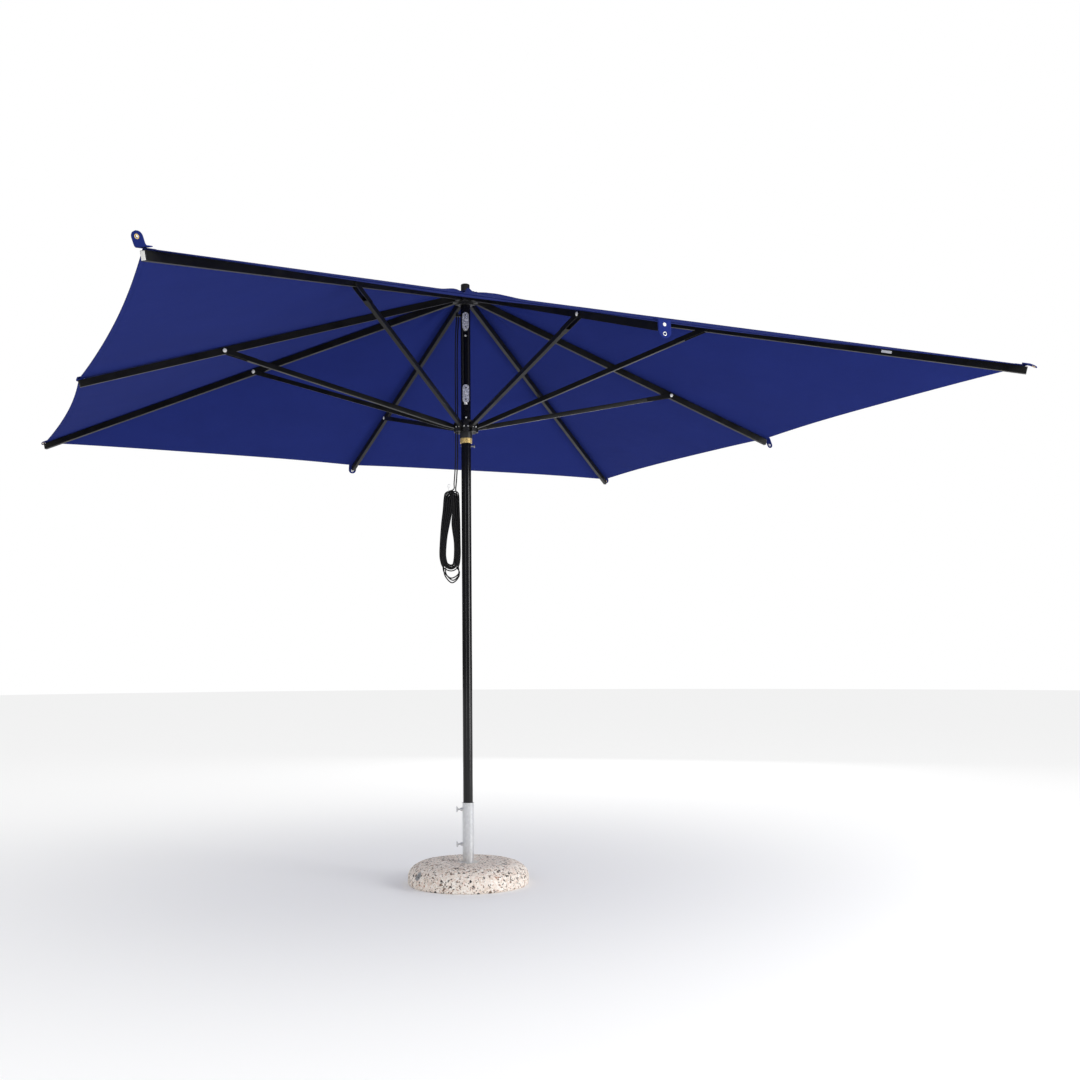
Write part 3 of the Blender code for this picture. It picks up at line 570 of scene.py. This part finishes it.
def tube_mesh(name, points, radius, sides=10):
    """A round tube along points, with UVs of diameters along it and quarter turns round it."""
    points = [Vector(p) for p in points]
    around_each = zip([points[0], *points[:-1]], [*points[1:], points[-1]])
    tangents = [(b - a).normalized() for a, b in around_each if (b - a).length > 0]
    normal = tangents[0].orthogonal().normalized()
    bm = bmesh.new()
    uv = bm.loops.layers.uv.new("UVMap")
    rings, runs, run = [], [], 0.0
    for i, (point, tangent) in enumerate(zip(points, tangents)):
        normal = (normal - tangent * normal.dot(tangent)).normalized()
        side = tangent.cross(normal)
        if i:
            run += (point - points[i - 1]).length
        runs.append(run / (2 * radius))
        spokes = [math.cos(a) * normal + math.sin(a) * side for a in round_angles(sides)]
        rings.append([bm.verts.new(point + radius * spoke) for spoke in spokes])
    for i in range(len(rings) - 1):
        for k in range(sides):
            n = (k + 1) % sides
            face = bm.faces.new((rings[i][k], rings[i][n], rings[i + 1][n], rings[i + 1][k]))
            corners = ((runs[i], k), (runs[i], k + 1), (runs[i + 1], k + 1), (runs[i + 1], k))
            for loop, (along, turn) in zip(face.loops, corners):
                loop[uv].uv = (along, turn / sides * 4)
    bm.faces.new(rings[0][::-1])
    bm.faces.new(rings[-1])
    return mesh_from(name, bm)


# ---------- camera, floor and light


CAMERA_AT = (-1.971, -4.637, 0.9285)
WORLD_LIGHT = 0.94
WORLD_REFLECTED = 0.14


def make_camera():
    """The fitted viewpoint, with the small shift that the framing needs."""
    yaw, pitch, roll = 0.4398, -0.0092, -0.0052
    ahead = Vector((math.sin(yaw) * math.cos(pitch), math.cos(yaw) * math.cos(pitch), math.sin(pitch)))
    right = Vector((math.cos(yaw), -math.sin(yaw), 0))
    up = right.cross(ahead)
    cos, sin = math.cos(roll), math.sin(roll)
    right, up = cos * right + sin * up, cos * up - sin * right
    data = bpy.data.cameras.new("camera")
    data.lens = 40.93
    data.sensor_width = 36.0
    data.shift_x = 0.0242
    data.shift_y = 0.1186
    data.clip_start, data.clip_end = 0.05, 200
    camera = add_to_scene("camera", data)
    camera.matrix_world = Matrix.Translation(CAMERA_AT) @ Matrix((right, up, -ahead)).transposed().to_4x4()
    bpy.context.scene.camera = camera


def softbox(name, bearing, distance, height, size, power, target_z):
    """A large soft light. `bearing` is in degrees from the camera's side, towards the viewer's right."""
    toward_camera = math.atan2(CAMERA_AT[1], CAMERA_AT[0])
    angle = toward_camera + math.radians(bearing)
    at = Vector((distance * math.cos(angle), distance * math.sin(angle), height))
    data = bpy.data.lights.new(name, "AREA")
    data.shape = "RECTANGLE"
    data.size, data.size_y = size
    data.energy = power
    light = add_to_scene(name, data)
    facing = (Vector((0, 0, target_z)) - at).to_track_quat("-Z", "Y")
    light.matrix_world = Matrix.Translation(at) @ facing.to_matrix().to_4x4()
    light.visible_camera = False


def make_stage():
    look = new_look("studio_floor", (0.94, 0.94, 0.94), 0.9, Specular_IOR_Level=0.0)
    feed(look, "Roughness", spread(look, noise(look, place(look), 3.0, 2.0), 0.86, 0.94))
    disc = mesh_from("studio_floor", lathe([(0, 0), (6, 0), (30, 0)], 64))
    floor = add("studio_floor", disc, look, smooth=False)
    world = bpy.data.worlds.new("studio")
    world.use_nodes = True
    background = world.node_tree.nodes["Background"]
    background.inputs["Color"].default_value = (1, 1, 1, 1)
    ray = node(world, "LightPath").outputs
    strength = spread(world, ray["Is Glossy Ray"], WORLD_LIGHT, WORLD_REFLECTED, 0.0, 1.0)
    shown = spread(world, ray["Is Camera Ray"], strength, 1.0, 0.0, 1.0)
    world.node_tree.links.new(shown, background.inputs["Strength"])
    bpy.context.scene.world = world
    bpy.context.scene.view_settings.view_transform = "Standard"
    softbox("key", 60, 5.5, 1.7, (1.9, 3.2), 170, 1.2)
    softbox("fill", -23, 6.2, 1.7, (1.1, 3.2), 30, 1.2)
    softbox("top", 15, 2.0, 6.0, (4.0, 4.0), 15, 2.0)
    softbox("back", 165, 6.0, 2.2, (3.0, 2.6), 30, 1.5)


make_camera()
make_stage()


# ---------- rope


def inset(points, amount):
    """Moves a closed outline of (r, z) points inwards. It runs clockwise, seen with r to the right."""
    made = []
    count = len(points)
    for i, (r, z) in enumerate(points):
        before, after = points[i - 1], points[(i + 1) % count]
        dr, dz = after[0] - before[0], after[1] - before[1]
        size = math.hypot(dr, dz)
        made.append((r + amount * dz / size, z - amount * dr / size))
    return made


def narrowed(outline, depth):
    """One turn's points, moved in by its depth in the hank. Towards the top the turns close on each other."""
    made = []
    low, high = NECK_HEIGHTS
    for (r, z), moved in zip(outline, inset(outline, depth * ROPE_PITCH)):
        if z <= low:
            made.append(moved)
            continue
        up = min(1.0, (z - low) / (high - low))
        pitch = ROPE_PITCH + (NECK_PITCH - ROPE_PITCH) * up
        centre = NECK_RADII[0] + (NECK_RADII[1] - NECK_RADII[0]) * up
        least = NECK_BEND + 0.0010 * (LAYERS - depth)
        half = max(least, abs(r - centre) - depth * pitch)
        lowered = depth * NECK_DROP * max(0.0, (z - LOWERED_FROM_Z) / (TURN_TOP[1] - LOWERED_FROM_Z))
        across = 0.0 if (r, z) == TURN_TOP else math.copysign(half, r - centre)
        made.append((centre + across, z - lowered))
    return made


def rope_path():
    """Down the tail, round every turn of the hank and back up the return, as points in the row frame."""
    route = [outward(ROPE_AZIMUTH, r, z) for r, z in TAIL_ROUTE]
    order = [(layer, -1) for layer in range(LAYERS)] + [(layer, 1) for layer in reversed(range(LAYERS))]
    for turn, (layer, column) in enumerate(order):
        depth = layer + (0.5 if column > 0 else 0.0)
        outline = [TURN_TOP, *TURN_OUTER_SIDE, *TURN_BOTTOM, *TURN_INNER_SIDE]
        turn_points = narrowed(outline, depth)
        if turn in LOOSE_BOTTOMS:
            first = 1 + len(TURN_OUTER_SIDE)
            turn_points[first : first + 3] = LOOSE_BOTTOMS[turn]
        sway = 0.0010 * math.sin(2.1 * turn + 0.4)
        for i, (r, z) in enumerate(turn_points):
            if i == 0 and turn == 0:
                continue
            ease = min(1.0, (TURN_TOP[1] - z) / 0.05)
            sideways = column * ROPE_PITCH * 0.5 + sway * ease * math.sin(1.3 * i + turn)
            route.append(outward(ROPE_AZIMUTH, r, z, sideways))
    route += [outward(ROPE_AZIMUTH, r, z) for r, z in reversed(RETURN_ROUTE)]
    return through(route, 0.005)


def make_hank():
    path = rope_path()
    rope = add("free_rope", tube_mesh("free_rope", path, ROPE_R, 8), LOOKS["rope"], "mast", sharp=0)
    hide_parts("rope_tail", "rope_hank", "rope_return")
    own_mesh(rope)
    hook_line = through([outward(ROPE_AZIMUTH, r, z, 0.0035) for r, z in HOOK_ROUTE], 0.0012)
    hook_mesh = tube_mesh("hank_hook", hook_line, 0.0008, 8)
    hook = add("hank_hook", hook_mesh, STEEL, "mast", sharp=0)


make_hank()


def make_falls():
    """The tackle's rope, from the upper block round the lower sheave and over the upper one to the guide."""
    lead = SHEAVE_GROOVE_R + ROPE_R + 0.0003

    def at(sideways, z):
        return outward(TACKLE_AZIMUTH, BLOCK_MIDDLE_R, z, sideways)

    def fall(sideways, start, end):
        return [at(sideways, z) for z in np.linspace(start, end, 24)]

    def wrap(centre, start, end):
        angles = [math.radians(a) for a in np.linspace(start, end, 13)[1:-1]]
        return [at(lead * math.cos(a), centre + lead * math.sin(a)) for a in angles]

    path = fall(-lead, UPPER_SHEAVE_Z, LOWER_SHEAVE_Z) + wrap(LOWER_SHEAVE_Z, 180, 360)
    path += fall(lead, LOWER_SHEAVE_Z, UPPER_SHEAVE_Z) + wrap(UPPER_SHEAVE_Z, 0, 90)
    path += through(
        [
            at(0.0, UPPER_SHEAVE_Z + lead),
            at(-0.010, UPPER_SHEAVE_Z + lead + 0.001),
            outward(215, 0.0330, 2.3135),
            outward(195, 0.0345, 2.3220),
            outward(178, 0.0355, 2.3330),
            outward(165, 0.0365, 2.3360),
            outward(ROPE_AZIMUTH, 0.0365, 2.3300),
            outward(ROPE_AZIMUTH, 0.0365, 2.3270),
        ],
        0.004,
    )
    falls = add("rope_falls", tube_mesh("rope_falls", path, ROPE_R, 10), LOOKS["rope"], sharp=0)
    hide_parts("rope_fall_left", "rope_fall_right")
    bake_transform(falls)


make_falls()


# ---------- cloth


def hem_reach(across_share):
    return 1 - HEM_BOW / HALF_WIDTH * 4 * across_share * (1 - across_share)


def cloth_point(direction, share, turned=0.0):
    """The cloth's underside in a direction in radians, with its gathers at the crown and slack between ribs.

    `turned` is the angle that the piece is turned through afterwards, so that neighbours' gathers meet.
    """
    run, rise = abs(math.cos(direction)), abs(math.sin(direction))
    longer, across_share = max(run, rise), min(run, rise) / max(run, rise)
    hem_r = HALF_WIDTH * hem_reach(across_share) / longer
    r = FABRIC_START_R + (hem_r - FABRIC_START_R) * share
    out = r * longer / HALF_WIDTH
    drop = (APEX_Z - SIDE_TIP_Z) * (1 - across_share) + (APEX_Z - CORNER_TIP_Z) * across_share
    free = 4 * across_share * (1 - across_share)
    sag = PANEL_SAG * free * math.sin(math.pi * 0.9 * out)
    world = direction + turned
    near = math.exp(-(((r - 0.15) / 0.10) ** 2))
    gathers = near * free * (0.009 + 0.011 * math.sin(13 * world + 0.6) + 0.005 * math.sin(29 * world))
    slack = 0.0016 * free * math.sin(9.0 * out + 7 * world) * out
    height = APEX_Z + FABRIC_LIFT - out * drop - sag + gathers + slack
    return Vector((r * math.cos(direction), r * math.sin(direction), height))


def cloth_normal(direction, share, turned=0.0):
    step = 1e-3
    low, high = max(0.0, share - step), share + step
    along = cloth_point(direction, high, turned) - cloth_point(direction, low, turned)
    across = cloth_point(direction + step, share, turned) - cloth_point(direction - step, share, turned)
    normal = along.cross(across)
    return (normal if normal.z > 0 else -normal).normalized()


def make_gore(where, azimuth):
    """The cloth that one rib carries: two layers, thicker along the seam over the rib and at the hem."""
    corner = where in CORNER_RIBS
    middle = math.radians(45 if corner else 0)
    half = math.pi / 4 - math.atan(0.5) if corner else math.atan(0.5)
    tip_r = HALF_WIDTH * (math.sqrt(2) if corner else 1)
    border_r = HALF_WIDTH / math.cos(math.atan(0.5))
    hem = HEM_WIDTH / border_r
    hem_shares = [1 - (HEM_WIDTH + 0.001) / border_r, 1 - hem, 1 - hem / 2, 1.0]
    gathered = np.linspace(0, 1, 12, endpoint=False) * 0.12
    shares = [*gathered, *np.linspace(0.12, hem_shares[0], 40, endpoint=False), *hem_shares]
    turned = math.radians(azimuth) - middle
    turn = around(math.degrees(turned))
    sides = 18
    count = 2 * (sides + 2) + 1
    layers = {"under": [], "top": []}
    normals, uvs = [], []
    for share in shares:
        r_here = FABRIC_START_R + (tip_r - FABRIC_START_R) * share
        fixed = [0.0, SEAM_HALF / r_here, (SEAM_HALF + 0.0012) / r_here]
        reach = half + BORDER_LAP / r_here - fixed[-1]
        steps = fixed + [fixed[-1] + reach * i / sides for i in range(1, sides + 1)]
        angles = [-a for a in reversed(steps[1:])] + steps
        extra = HEM_EXTRA if share >= hem_shares[1] else 0.0
        for column, angle in enumerate(angles):
            direction = middle + angle
            under = cloth_point(direction, share, turned)
            normal = cloth_normal(direction, share, turned)
            seam = SEAM_EXTRA if abs(column - count // 2) <= 1 else 0.0
            layers["under"].append(turn @ under)
            layers["top"].append(turn @ (under + normal * (CLOTH + extra + seam)))
            normals.append(turn.to_3x3() @ normal)
            r = math.hypot(under.x, under.y)
            uvs.append((r * math.sin(angle), r * math.cos(angle), (tip_r - FABRIC_START_R) * (1 - share)))
    rows = len(shares)
    size = rows * count
    bm = bmesh.new()
    weave = bm.loops.layers.uv.new("UVMap")
    edges = bm.loops.layers.uv.new("Edges")
    verts = [bm.verts.new(p) for p in layers["under"] + layers["top"]]

    def face(indices):
        made = bm.faces.new([verts[i] for i in indices])
        made.smooth = True
        for loop, i in zip(made.loops, indices):
            u, v, hem = uvs[i % size]
            loop[weave].uv = (u, v)
            loop[edges].uv = (u, hem)

    for i in range(rows - 1):
        for j in range(count - 1):
            a, b = i * count + j, (i + 1) * count + j
            c, d = b + 1, a + 1
            face((size + a, size + b, size + c, size + d))
            face((a, d, c, b))
    rim = list(range(count))
    rim += [i * count + count - 1 for i in range(1, rows)]
    rim += [(rows - 1) * count + j for j in range(count - 2, -1, -1)]
    rim += [i * count for i in range(rows - 2, -1, -1)]
    for a, b in zip(rim, rim[1:]):
        face((b, a, size + a, size + b))
    mesh = mesh_from("gore_" + where, bm)
    mesh.normals_split_custom_set_from_vertices([-n for n in normals] + normals)
    gore = add("gore_" + where, mesh, LOOKS["canopy_fabric"], "arm_" + where, smooth=False)
    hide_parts("canopy_" + where)
    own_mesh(gore)
    under = np.array(layers["under"]).reshape(rows, count, 3)
    sides_a, sides_b = under[1:, 1:] - under[:-1, :-1], under[1:, :-1] - under[:-1, 1:]
    area = float(np.linalg.norm(np.cross(sides_a, sides_b), axis=2).sum() / 2)
    slope = math.atan2(APEX_Z - (CORNER_TIP_Z if corner else SIDE_TIP_Z), tip_r)
    width = CORNER_FLAT_WIDTH if corner else 2 * HALF_WIDTH * math.tan(half)
    return gore, (width, tip_r / math.cos(slope)), area


def strap(name, centreline, width, side, look, hole_at):
    """A flat webbing tab along a centreline, with a half-round end and a hole. `side` is the way across it.

    Returns the tab, its hole's centre and the way that the hole faces. `hole_at` is measured from the end.
    """
    line = through(centreline, 0.002)
    runs = [0.0]
    for a, b in zip(line, line[1:]):
        runs.append(runs[-1] + (b - a).length)
    total, half = runs[-1], width / 2
    bm = bmesh.new()
    uv = bm.loops.layers.uv.new("UVMap")
    side = Vector(side).normalized()
    grid, places = [], {}
    for i, (point, run) in enumerate(zip(line, runs)):
        into = max(0.0, run - (total - half)) / half
        reach = half * math.sqrt(max(0.0, 1 - into * into)) + 0.0004
        row = []
        for k in range(9):
            v = bm.verts.new(point + side * reach * (k / 4 - 1))
            places[v] = (reach * (k / 4 - 1), run)
            row.append(v)
        grid.append(row)
    for a, b in zip(grid, grid[1:]):
        for k in range(8):
            made = bm.faces.new((a[k], b[k], b[k + 1], a[k + 1]))
            for loop in made.loops:
                loop[uv].uv = places[loop.vert]
    mesh = mesh_from(name, bm)
    made = add(name, mesh, look)
    thick = made.modifiers.new("Thickness", "SOLIDIFY")
    thick.thickness, thick.offset = 0.0024, 0
    index = min(range(len(runs)), key=lambda i: abs(runs[i] - (total - hole_at)))
    before, after = line[max(0, index - 1)], line[min(len(line) - 1, index + 1)]
    facing = (after - before).cross(side).normalized()
    centre = line[index]
    profile = [(0, -0.02), (EYELET_HOLE_R, -0.02), (EYELET_HOLE_R, 0.02), (0, 0.02)]
    punch_out(made, lathe(profile, 20, frame_of(centre, facing, side)))
    return made, centre, facing


def punch_out(made, cutter_shape):
    """Cuts a bmesh out of an object and makes its modifiers' result its own mesh."""
    punch = add("punch", mesh_from("punch", cutter_shape), made.data.materials[0])
    cutter = made.modifiers.new("Hole", "BOOLEAN")
    cutter.object, cutter.solver = punch, "EXACT"
    graph = bpy.context.evaluated_depsgraph_get()
    mesh = bpy.data.meshes.new_from_object(made.evaluated_get(graph))
    made.modifiers.clear()
    made.data = mesh
    bpy.data.objects.remove(punch)


def grommet(name, centre, facing, side, look):
    """A pressed ring through a tab, rolled on both faces."""
    middle, half = (EYELET_HOLE_R + EYELET_R) / 2, (EYELET_R - EYELET_HOLE_R) / 2
    rim = [(middle + half * math.cos(a), 0.0021 * math.sin(a)) for a in round_angles(12)]
    bm = lathe([*rim, rim[0]], 28, frame_of(centre, facing, side))
    bmesh.ops.remove_doubles(bm, verts=bm.verts, dist=1e-5)
    bmesh.ops.recalc_face_normals(bm, faces=bm.faces)
    return add(name, mesh_from(name, bm), look, sharp=0)


# Each rib end's tab: its reach past the hem, its width, and its lean below the horizontal in degrees.
TABS = {
    "front_left": (0.044, 0.032, -58),
    "front": (0.062, 0.044, 84),
    "front_right": (0.032, 0.026, 28),
    "right": (0.052, 0.032, 66),
    "back_right": (0.030, 0.030, 70),
    "back": (0.048, 0.038, 80),
    "back_left": (0.016, 0.018, 62),
    "left": (0.045, 0.032, -162),
}


def make_tab(where, azimuth):
    """The webbing tab sewn to the hem at a rib's end, with its eyelet: brass at the corners."""
    reach, width, lean = TABS[where]
    corner = where in CORNER_RIBS
    direction = math.radians(45 if corner else 0)
    turn = around(azimuth - math.degrees(direction))
    tip_r = HALF_WIDTH * (math.sqrt(2) if corner else 1)
    lift = CLOTH + 0.0035
    sewn = 1 - 0.018 / tip_r
    edge = turn @ (cloth_point(direction, 1.0) + cloth_normal(direction, 1.0) * lift)
    inner = turn @ (cloth_point(direction, sewn) + cloth_normal(direction, 0.99) * lift)
    out = outward(azimuth, 1, 0)
    slope = (edge - inner).normalized()
    start = edge + slope * 0.006
    lean_angle = math.radians(lean)
    hang = out * math.cos(lean_angle) - Vector((0, 0, 1)) * math.sin(lean_angle)
    bend = start + (slope + hang).normalized() * 0.007
    line = [inner, edge, start, bend, bend + hang * (reach * 0.45), bend + hang * (reach - 0.010)]
    side = outward(azimuth, 0, 0, 1)
    hole_at = min(0.014, width * 0.42)
    tab, centre, facing = strap("tab_" + where, line, width, side, LOOKS["canopy_fabric"], hole_at)
    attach(tab, "arm_" + where)
    metal = "brass" if corner else "stainless_steel"
    eyelet = grommet("eyelet_" + where, centre, facing, side, LOOKS[metal])
    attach(eyelet, "arm_" + where)
    extra = []
    if where == "front":
        snap = add("tab_snap", mesh_from("tab_snap", dome(0.0058, 0.0022)), WHITE_CAP)
        outside = facing * 0.0012 * (1 if facing.y > 0 else -1)
        matrix = frame_of(bend + hang * 0.010 - outside, Vector((0, -1, 0.1)))
        extra.append(put(snap, matrix, "arm_front"))
    return [tab, eyelet, *extra]


def make_crown():
    """The gathered centre of the cloth under the clamp disc."""
    profile_r = [0.0, 0.020, 0.040, 0.046, 0.052, 0.058, 0.064, CROWN_R]
    steps = 96
    bm = bmesh.new()
    uv = bm.loops.layers.uv.new("UVMap")
    rows = []
    for thickness in (0.0, CLOTH):
        for r in profile_r:
            row = []
            for i in range(steps):
                a = 2 * math.pi * i / steps
                fall = 0.0035 * max(0.0, (r - 0.046) / 0.019) ** 1.3
                pleat = 0.0009 * max(0.0, (r - 0.046) / 0.024) * math.sin(24 * a)
                reach, height = max(r, 1e-4), HUB_TOP_Z + 0.0012 - fall + pleat + thickness
                row.append(bm.verts.new((reach * math.cos(a), reach * math.sin(a), height)))
            rows.append(row)
    count = len(profile_r)
    bands = [(rows[i], rows[i + 1], True) for i in range(count - 1)]
    bands += [(rows[count + i], rows[count + i + 1], False) for i in range(count - 1)]
    bands.append((rows[count - 1], rows[2 * count - 1], True))
    for lower, upper, flip in bands:
        for i in range(steps):
            j = (i + 1) % steps
            corners = [lower[i], lower[j], upper[j], upper[i]]
            made = bm.faces.new(corners[::-1] if flip else corners)
            for loop in made.loops:
                loop[uv].uv = (loop.vert.co.x, loop.vert.co.y)
    bmesh.ops.recalc_face_normals(bm, faces=bm.faces)
    crown = add("crown", mesh_from("crown", bm), LOOKS["canopy_fabric"], "mast", sharp=0)
    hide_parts("canopy_crown")


def make_canopy():
    for where, azimuth in RIBS.items():
        gore, flat, area = make_gore(where, azimuth)
        pieces = make_tab(where, azimuth)
    make_crown()


make_canopy()


# ---------- metal and plastic


def refine(name, bevel=0.0, look=None):
    """A smooth-shaded copy of a CAD node with its edges eased, shown in its place."""
    cad = frame["nodes"][name]
    bm = bmesh.new()
    bm.from_mesh(cad.data)
    bmesh.ops.remove_doubles(bm, verts=bm.verts, dist=2e-6)
    bmesh.ops.dissolve_limit(bm, angle_limit=math.radians(0.5), verts=bm.verts, edges=bm.edges)
    mesh = mesh_from(name + "_shown", bm)
    entry = next(s for s in frame["record"]["subparts"] if s["node"] == name)
    made = add(name + "_shown", mesh, look or LOOKS[entry["material_slot"]], sharp=35)
    if bevel:
        eased = made.modifiers.new("Ease", "BEVEL")
        eased.width, eased.segments, eased.limit_method = bevel, 2, "ANGLE"
        eased.angle_limit = math.radians(40)
        eased.harden_normals = True
    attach(made, cad["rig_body"])
    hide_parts(name)
    return made


def make_pole():
    """The painted tube, round enough for its long reflections."""
    bore_r = POLE_R - POLE_WALL
    profile = [(bore_r, POLE_FOOT_Z), (POLE_R, POLE_FOOT_Z), (POLE_R, POLE_TOP_Z), (bore_r, POLE_TOP_Z)]
    pole = add("pole", mesh_from("pole", lathe(profile, 96)), LOOKS["pole_paint"], "mast")
    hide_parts("mast_tube")


def make_stone():
    """The cast base: an upright foot, a round shoulder, a slightly dished top and the inset's seat."""
    profile = [(SOCKET_R, SOCKET_FLOOR_Z), (SOCKET_R, 0.0875), (0.045, 0.0877), (0.060, 0.0880)]
    profile += [(0.085, 0.0889), (0.110, 0.0905), (0.135, 0.0914)]
    for a in np.linspace(90, 0, 19):
        turn = math.radians(a)
        profile.append((BASE_SHOULDER_R + 0.0876 * math.cos(turn), BASE_RIM_Z + 0.0585 * math.sin(turn)))
    profile += [(BASE_R, 0.026), (BASE_R, 0.018), (0.2474, 0.010), (0.2466, 0.004)]
    profile += [(0.2436, 0.0004), (0.10, 0.0), (0.0, 0.0)]
    bm = lathe(profile, 180)
    rng = np.random.default_rng(7)
    for v in bm.verts:
        r = math.hypot(v.co.x, v.co.y)
        if r > 0.03 and v.co.z > 0.003:
            push = rng.uniform(-0.00045, 0.00025)
            v.co.x += push * v.co.x / r
            v.co.y += push * v.co.y / r
            v.co.z = v.co.z + push if v.co.z > 0.04 else v.co.z
    stone = add("stone_base", mesh_from("stone_base", bm), LOOKS["stone"], "base", sharp=60)
    seat_r, seat_z = INSET_SEAT
    tilt = math.radians(INSET_TILT)
    axis = outward(INSET_AZIMUTH, math.sin(tilt), math.cos(tilt))
    hole = [(0, -0.0123), (INSET_R + 0.0003, -0.0123), (INSET_R + 0.0003, 0.03), (0, 0.03)]
    seat = frame_of(outward(INSET_AZIMUTH, seat_r, seat_z), axis)
    punch_out(stone, lathe(hole, 48, seat))
    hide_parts("base_block")


def make_hardware():
    for name in ("base_tube", "base_inset", "thumb_screw_upper", "thumb_screw_lower", "top_hub"):
        refine(name, 0.0004)
    refine("hub_pivot_ring")
    for name in ("clamp_disc", "finial", "runner"):
        refine(name, 0.0005)
    refine("locking_pin", 0.0005, PIN_STEEL)
    for name in ("upper_block", "lower_block"):
        refine(name, 0.0003, BLOCK_STEEL)
    for name in ("upper_sheave_axle", "lower_sheave_axle", "upper_sheave", "lower_sheave"):
        refine(name, 0.0003)
    for where in RIBS:
        refine("strut_" + where, 0.0007)
        refine("rib_" + where, 0.0010)


# The struts whose rivet has a white cap, and the side that it is on (1 is anticlockwise round the pole).
CAPPED_SIDES = {"left": 1, "back_left": 1, "back": 1, "right": -1, "front": -1}


def make_rivets():
    """White caps on five of the rivets that join struts to ribs, and steel pin heads on the runner."""
    for where, azimuth in RIBS.items():
        r, z = CORNER_RIVET if where in CORNER_RIBS else SIDE_RIVET
        if where in CAPPED_SIDES:
            sign = CAPPED_SIDES[where]
            centre = outward(azimuth, r, z, sign * (RIB_WIDTH / 2 + 0.0041))
            cap = add("rivet_cap_" + where, mesh_from("rivet_cap", dome(0.0078, 0.0030)), WHITE_CAP)
            put(cap, frame_of(centre, outward(azimuth, 0, 0, sign)), "strut_" + where)
        for side in (-1, 1):
            bearing = azimuth + side * RUNNER_RIVET_ANGLE
            centre = outward(bearing, RUNNER_RING_R - 0.0003, RUNNER_PIVOT_Z)
            name = f"runner_rivet_{where}_{'a' if side < 0 else 'b'}"
            mesh = mesh_from("runner_rivet", dome(0.0030, 0.0014, 16, 4))
            head = add(name, mesh, STEEL)
            put(head, frame_of(centre, outward(bearing, 1, 0)), "runner")


def make_small_parts():
    """The blocks' fixing screws and lightening holes."""
    facing = outward(TACKLE_AZIMUTH, 1, 0)
    for name, body, at_z in (("tackle_screw", "mast", 2.2375), ("strap_screw", "runner", 1.9050)):
        screw = add(name, mesh_from(name, dome(0.0042, 0.0020)), STEEL)
        put(screw, frame_of(outward(TACKLE_AZIMUTH, 0.0242, at_z), facing), body)
    for body, heights in (("mast", (2.3165, 2.2700)), ("runner", (2.0235, 1.9755))):
        for height in heights:
            name = f"cheek_hole_{round(height * 1e4)}"
            hole = add(name, mesh_from(name, dome(0.0030, 0.0002, 18, 2)), LOOKS["black_plastic"])
            centre = outward(TACKLE_AZIMUTH, BLOCK_OUTER + 0.0001, height)
            put(hole, frame_of(centre, facing), body)


LABEL_SIZE = (0.037, 0.0095, 0.0006)
LABEL_RUN = 1.645
CLIP_SIZE = (0.0016, 0.0125, 0.023)


def plate(name, size, look, edge):
    """A box with its edges eased."""
    bm = bmesh.new()
    bmesh.ops.create_cube(bm, size=1, matrix=Matrix.Diagonal((*size, 1)))
    made = add(name, mesh_from(name, bm), look)
    eased = made.modifiers.new("Ease", "BEVEL")
    eased.width, eased.segments = edge, 3
    return made


def make_label():
    """A plain white label stuck to the side of one rib, and a small metal clip at the end of another."""
    slope = math.atan2(HUB_PIVOT_Z - CORNER_TIP_Z, HALF_WIDTH * math.sqrt(2) - HUB_PIVOT_R)
    along = outward(315, math.cos(slope), -math.sin(slope))
    up = outward(315, math.sin(slope), math.cos(slope))
    aside = outward(315, 0, 0, -1)
    pivot = outward(315, HUB_PIVOT_R, HUB_PIVOT_Z)
    centre = pivot + along * LABEL_RUN + aside * (RIB_WIDTH / 2 + 0.0004)
    label = plate("rib_label", LABEL_SIZE, WHITE_LABEL, 0.00025)
    matrix = Matrix.Translation(centre) @ Matrix((along, up, aside)).transposed().to_4x4()
    put(label, matrix, "arm_front_right")
    tip = outward(225, HALF_WIDTH * math.sqrt(2) + 0.0008, CORNER_TIP_Z)
    clip = plate("rib_end_clip", CLIP_SIZE, STEEL, 0.0006)
    matrix = Matrix.Translation(tip) @ around(225) @ Matrix.Rotation(slope, 4, "Y")
    put(clip, matrix, "arm_front_left")


def make_collar():
    """The brass collar with its two turned grooves."""
    low, top, chamfer = COLLAR_LOW_Z, COLLAR_TOP_Z, 0.0006
    profile = [(COLLAR_BORE_R, low), (COLLAR_R - chamfer, low), (COLLAR_R, low + chamfer)]
    for groove in (1.8075, 1.8135):
        profile += [(COLLAR_R, groove - 0.0007), (COLLAR_R - 0.0008, groove), (COLLAR_R, groove + 0.0007)]
    profile += [(COLLAR_R, top - chamfer), (COLLAR_R - chamfer, top)]
    profile += [(COLLAR_BORE_R, top), (COLLAR_BORE_R, low)]
    bm = lathe(profile, 72)
    bmesh.ops.remove_doubles(bm, verts=bm.verts, dist=1e-6)
    collar = add("collar", mesh_from("collar", bm), LOOKS["brass"], "runner", sharp=30)
    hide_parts("brass_collar")


make_pole()
make_stone()
make_label()
make_collar()
make_hardware()
make_rivets()
make_small_parts()
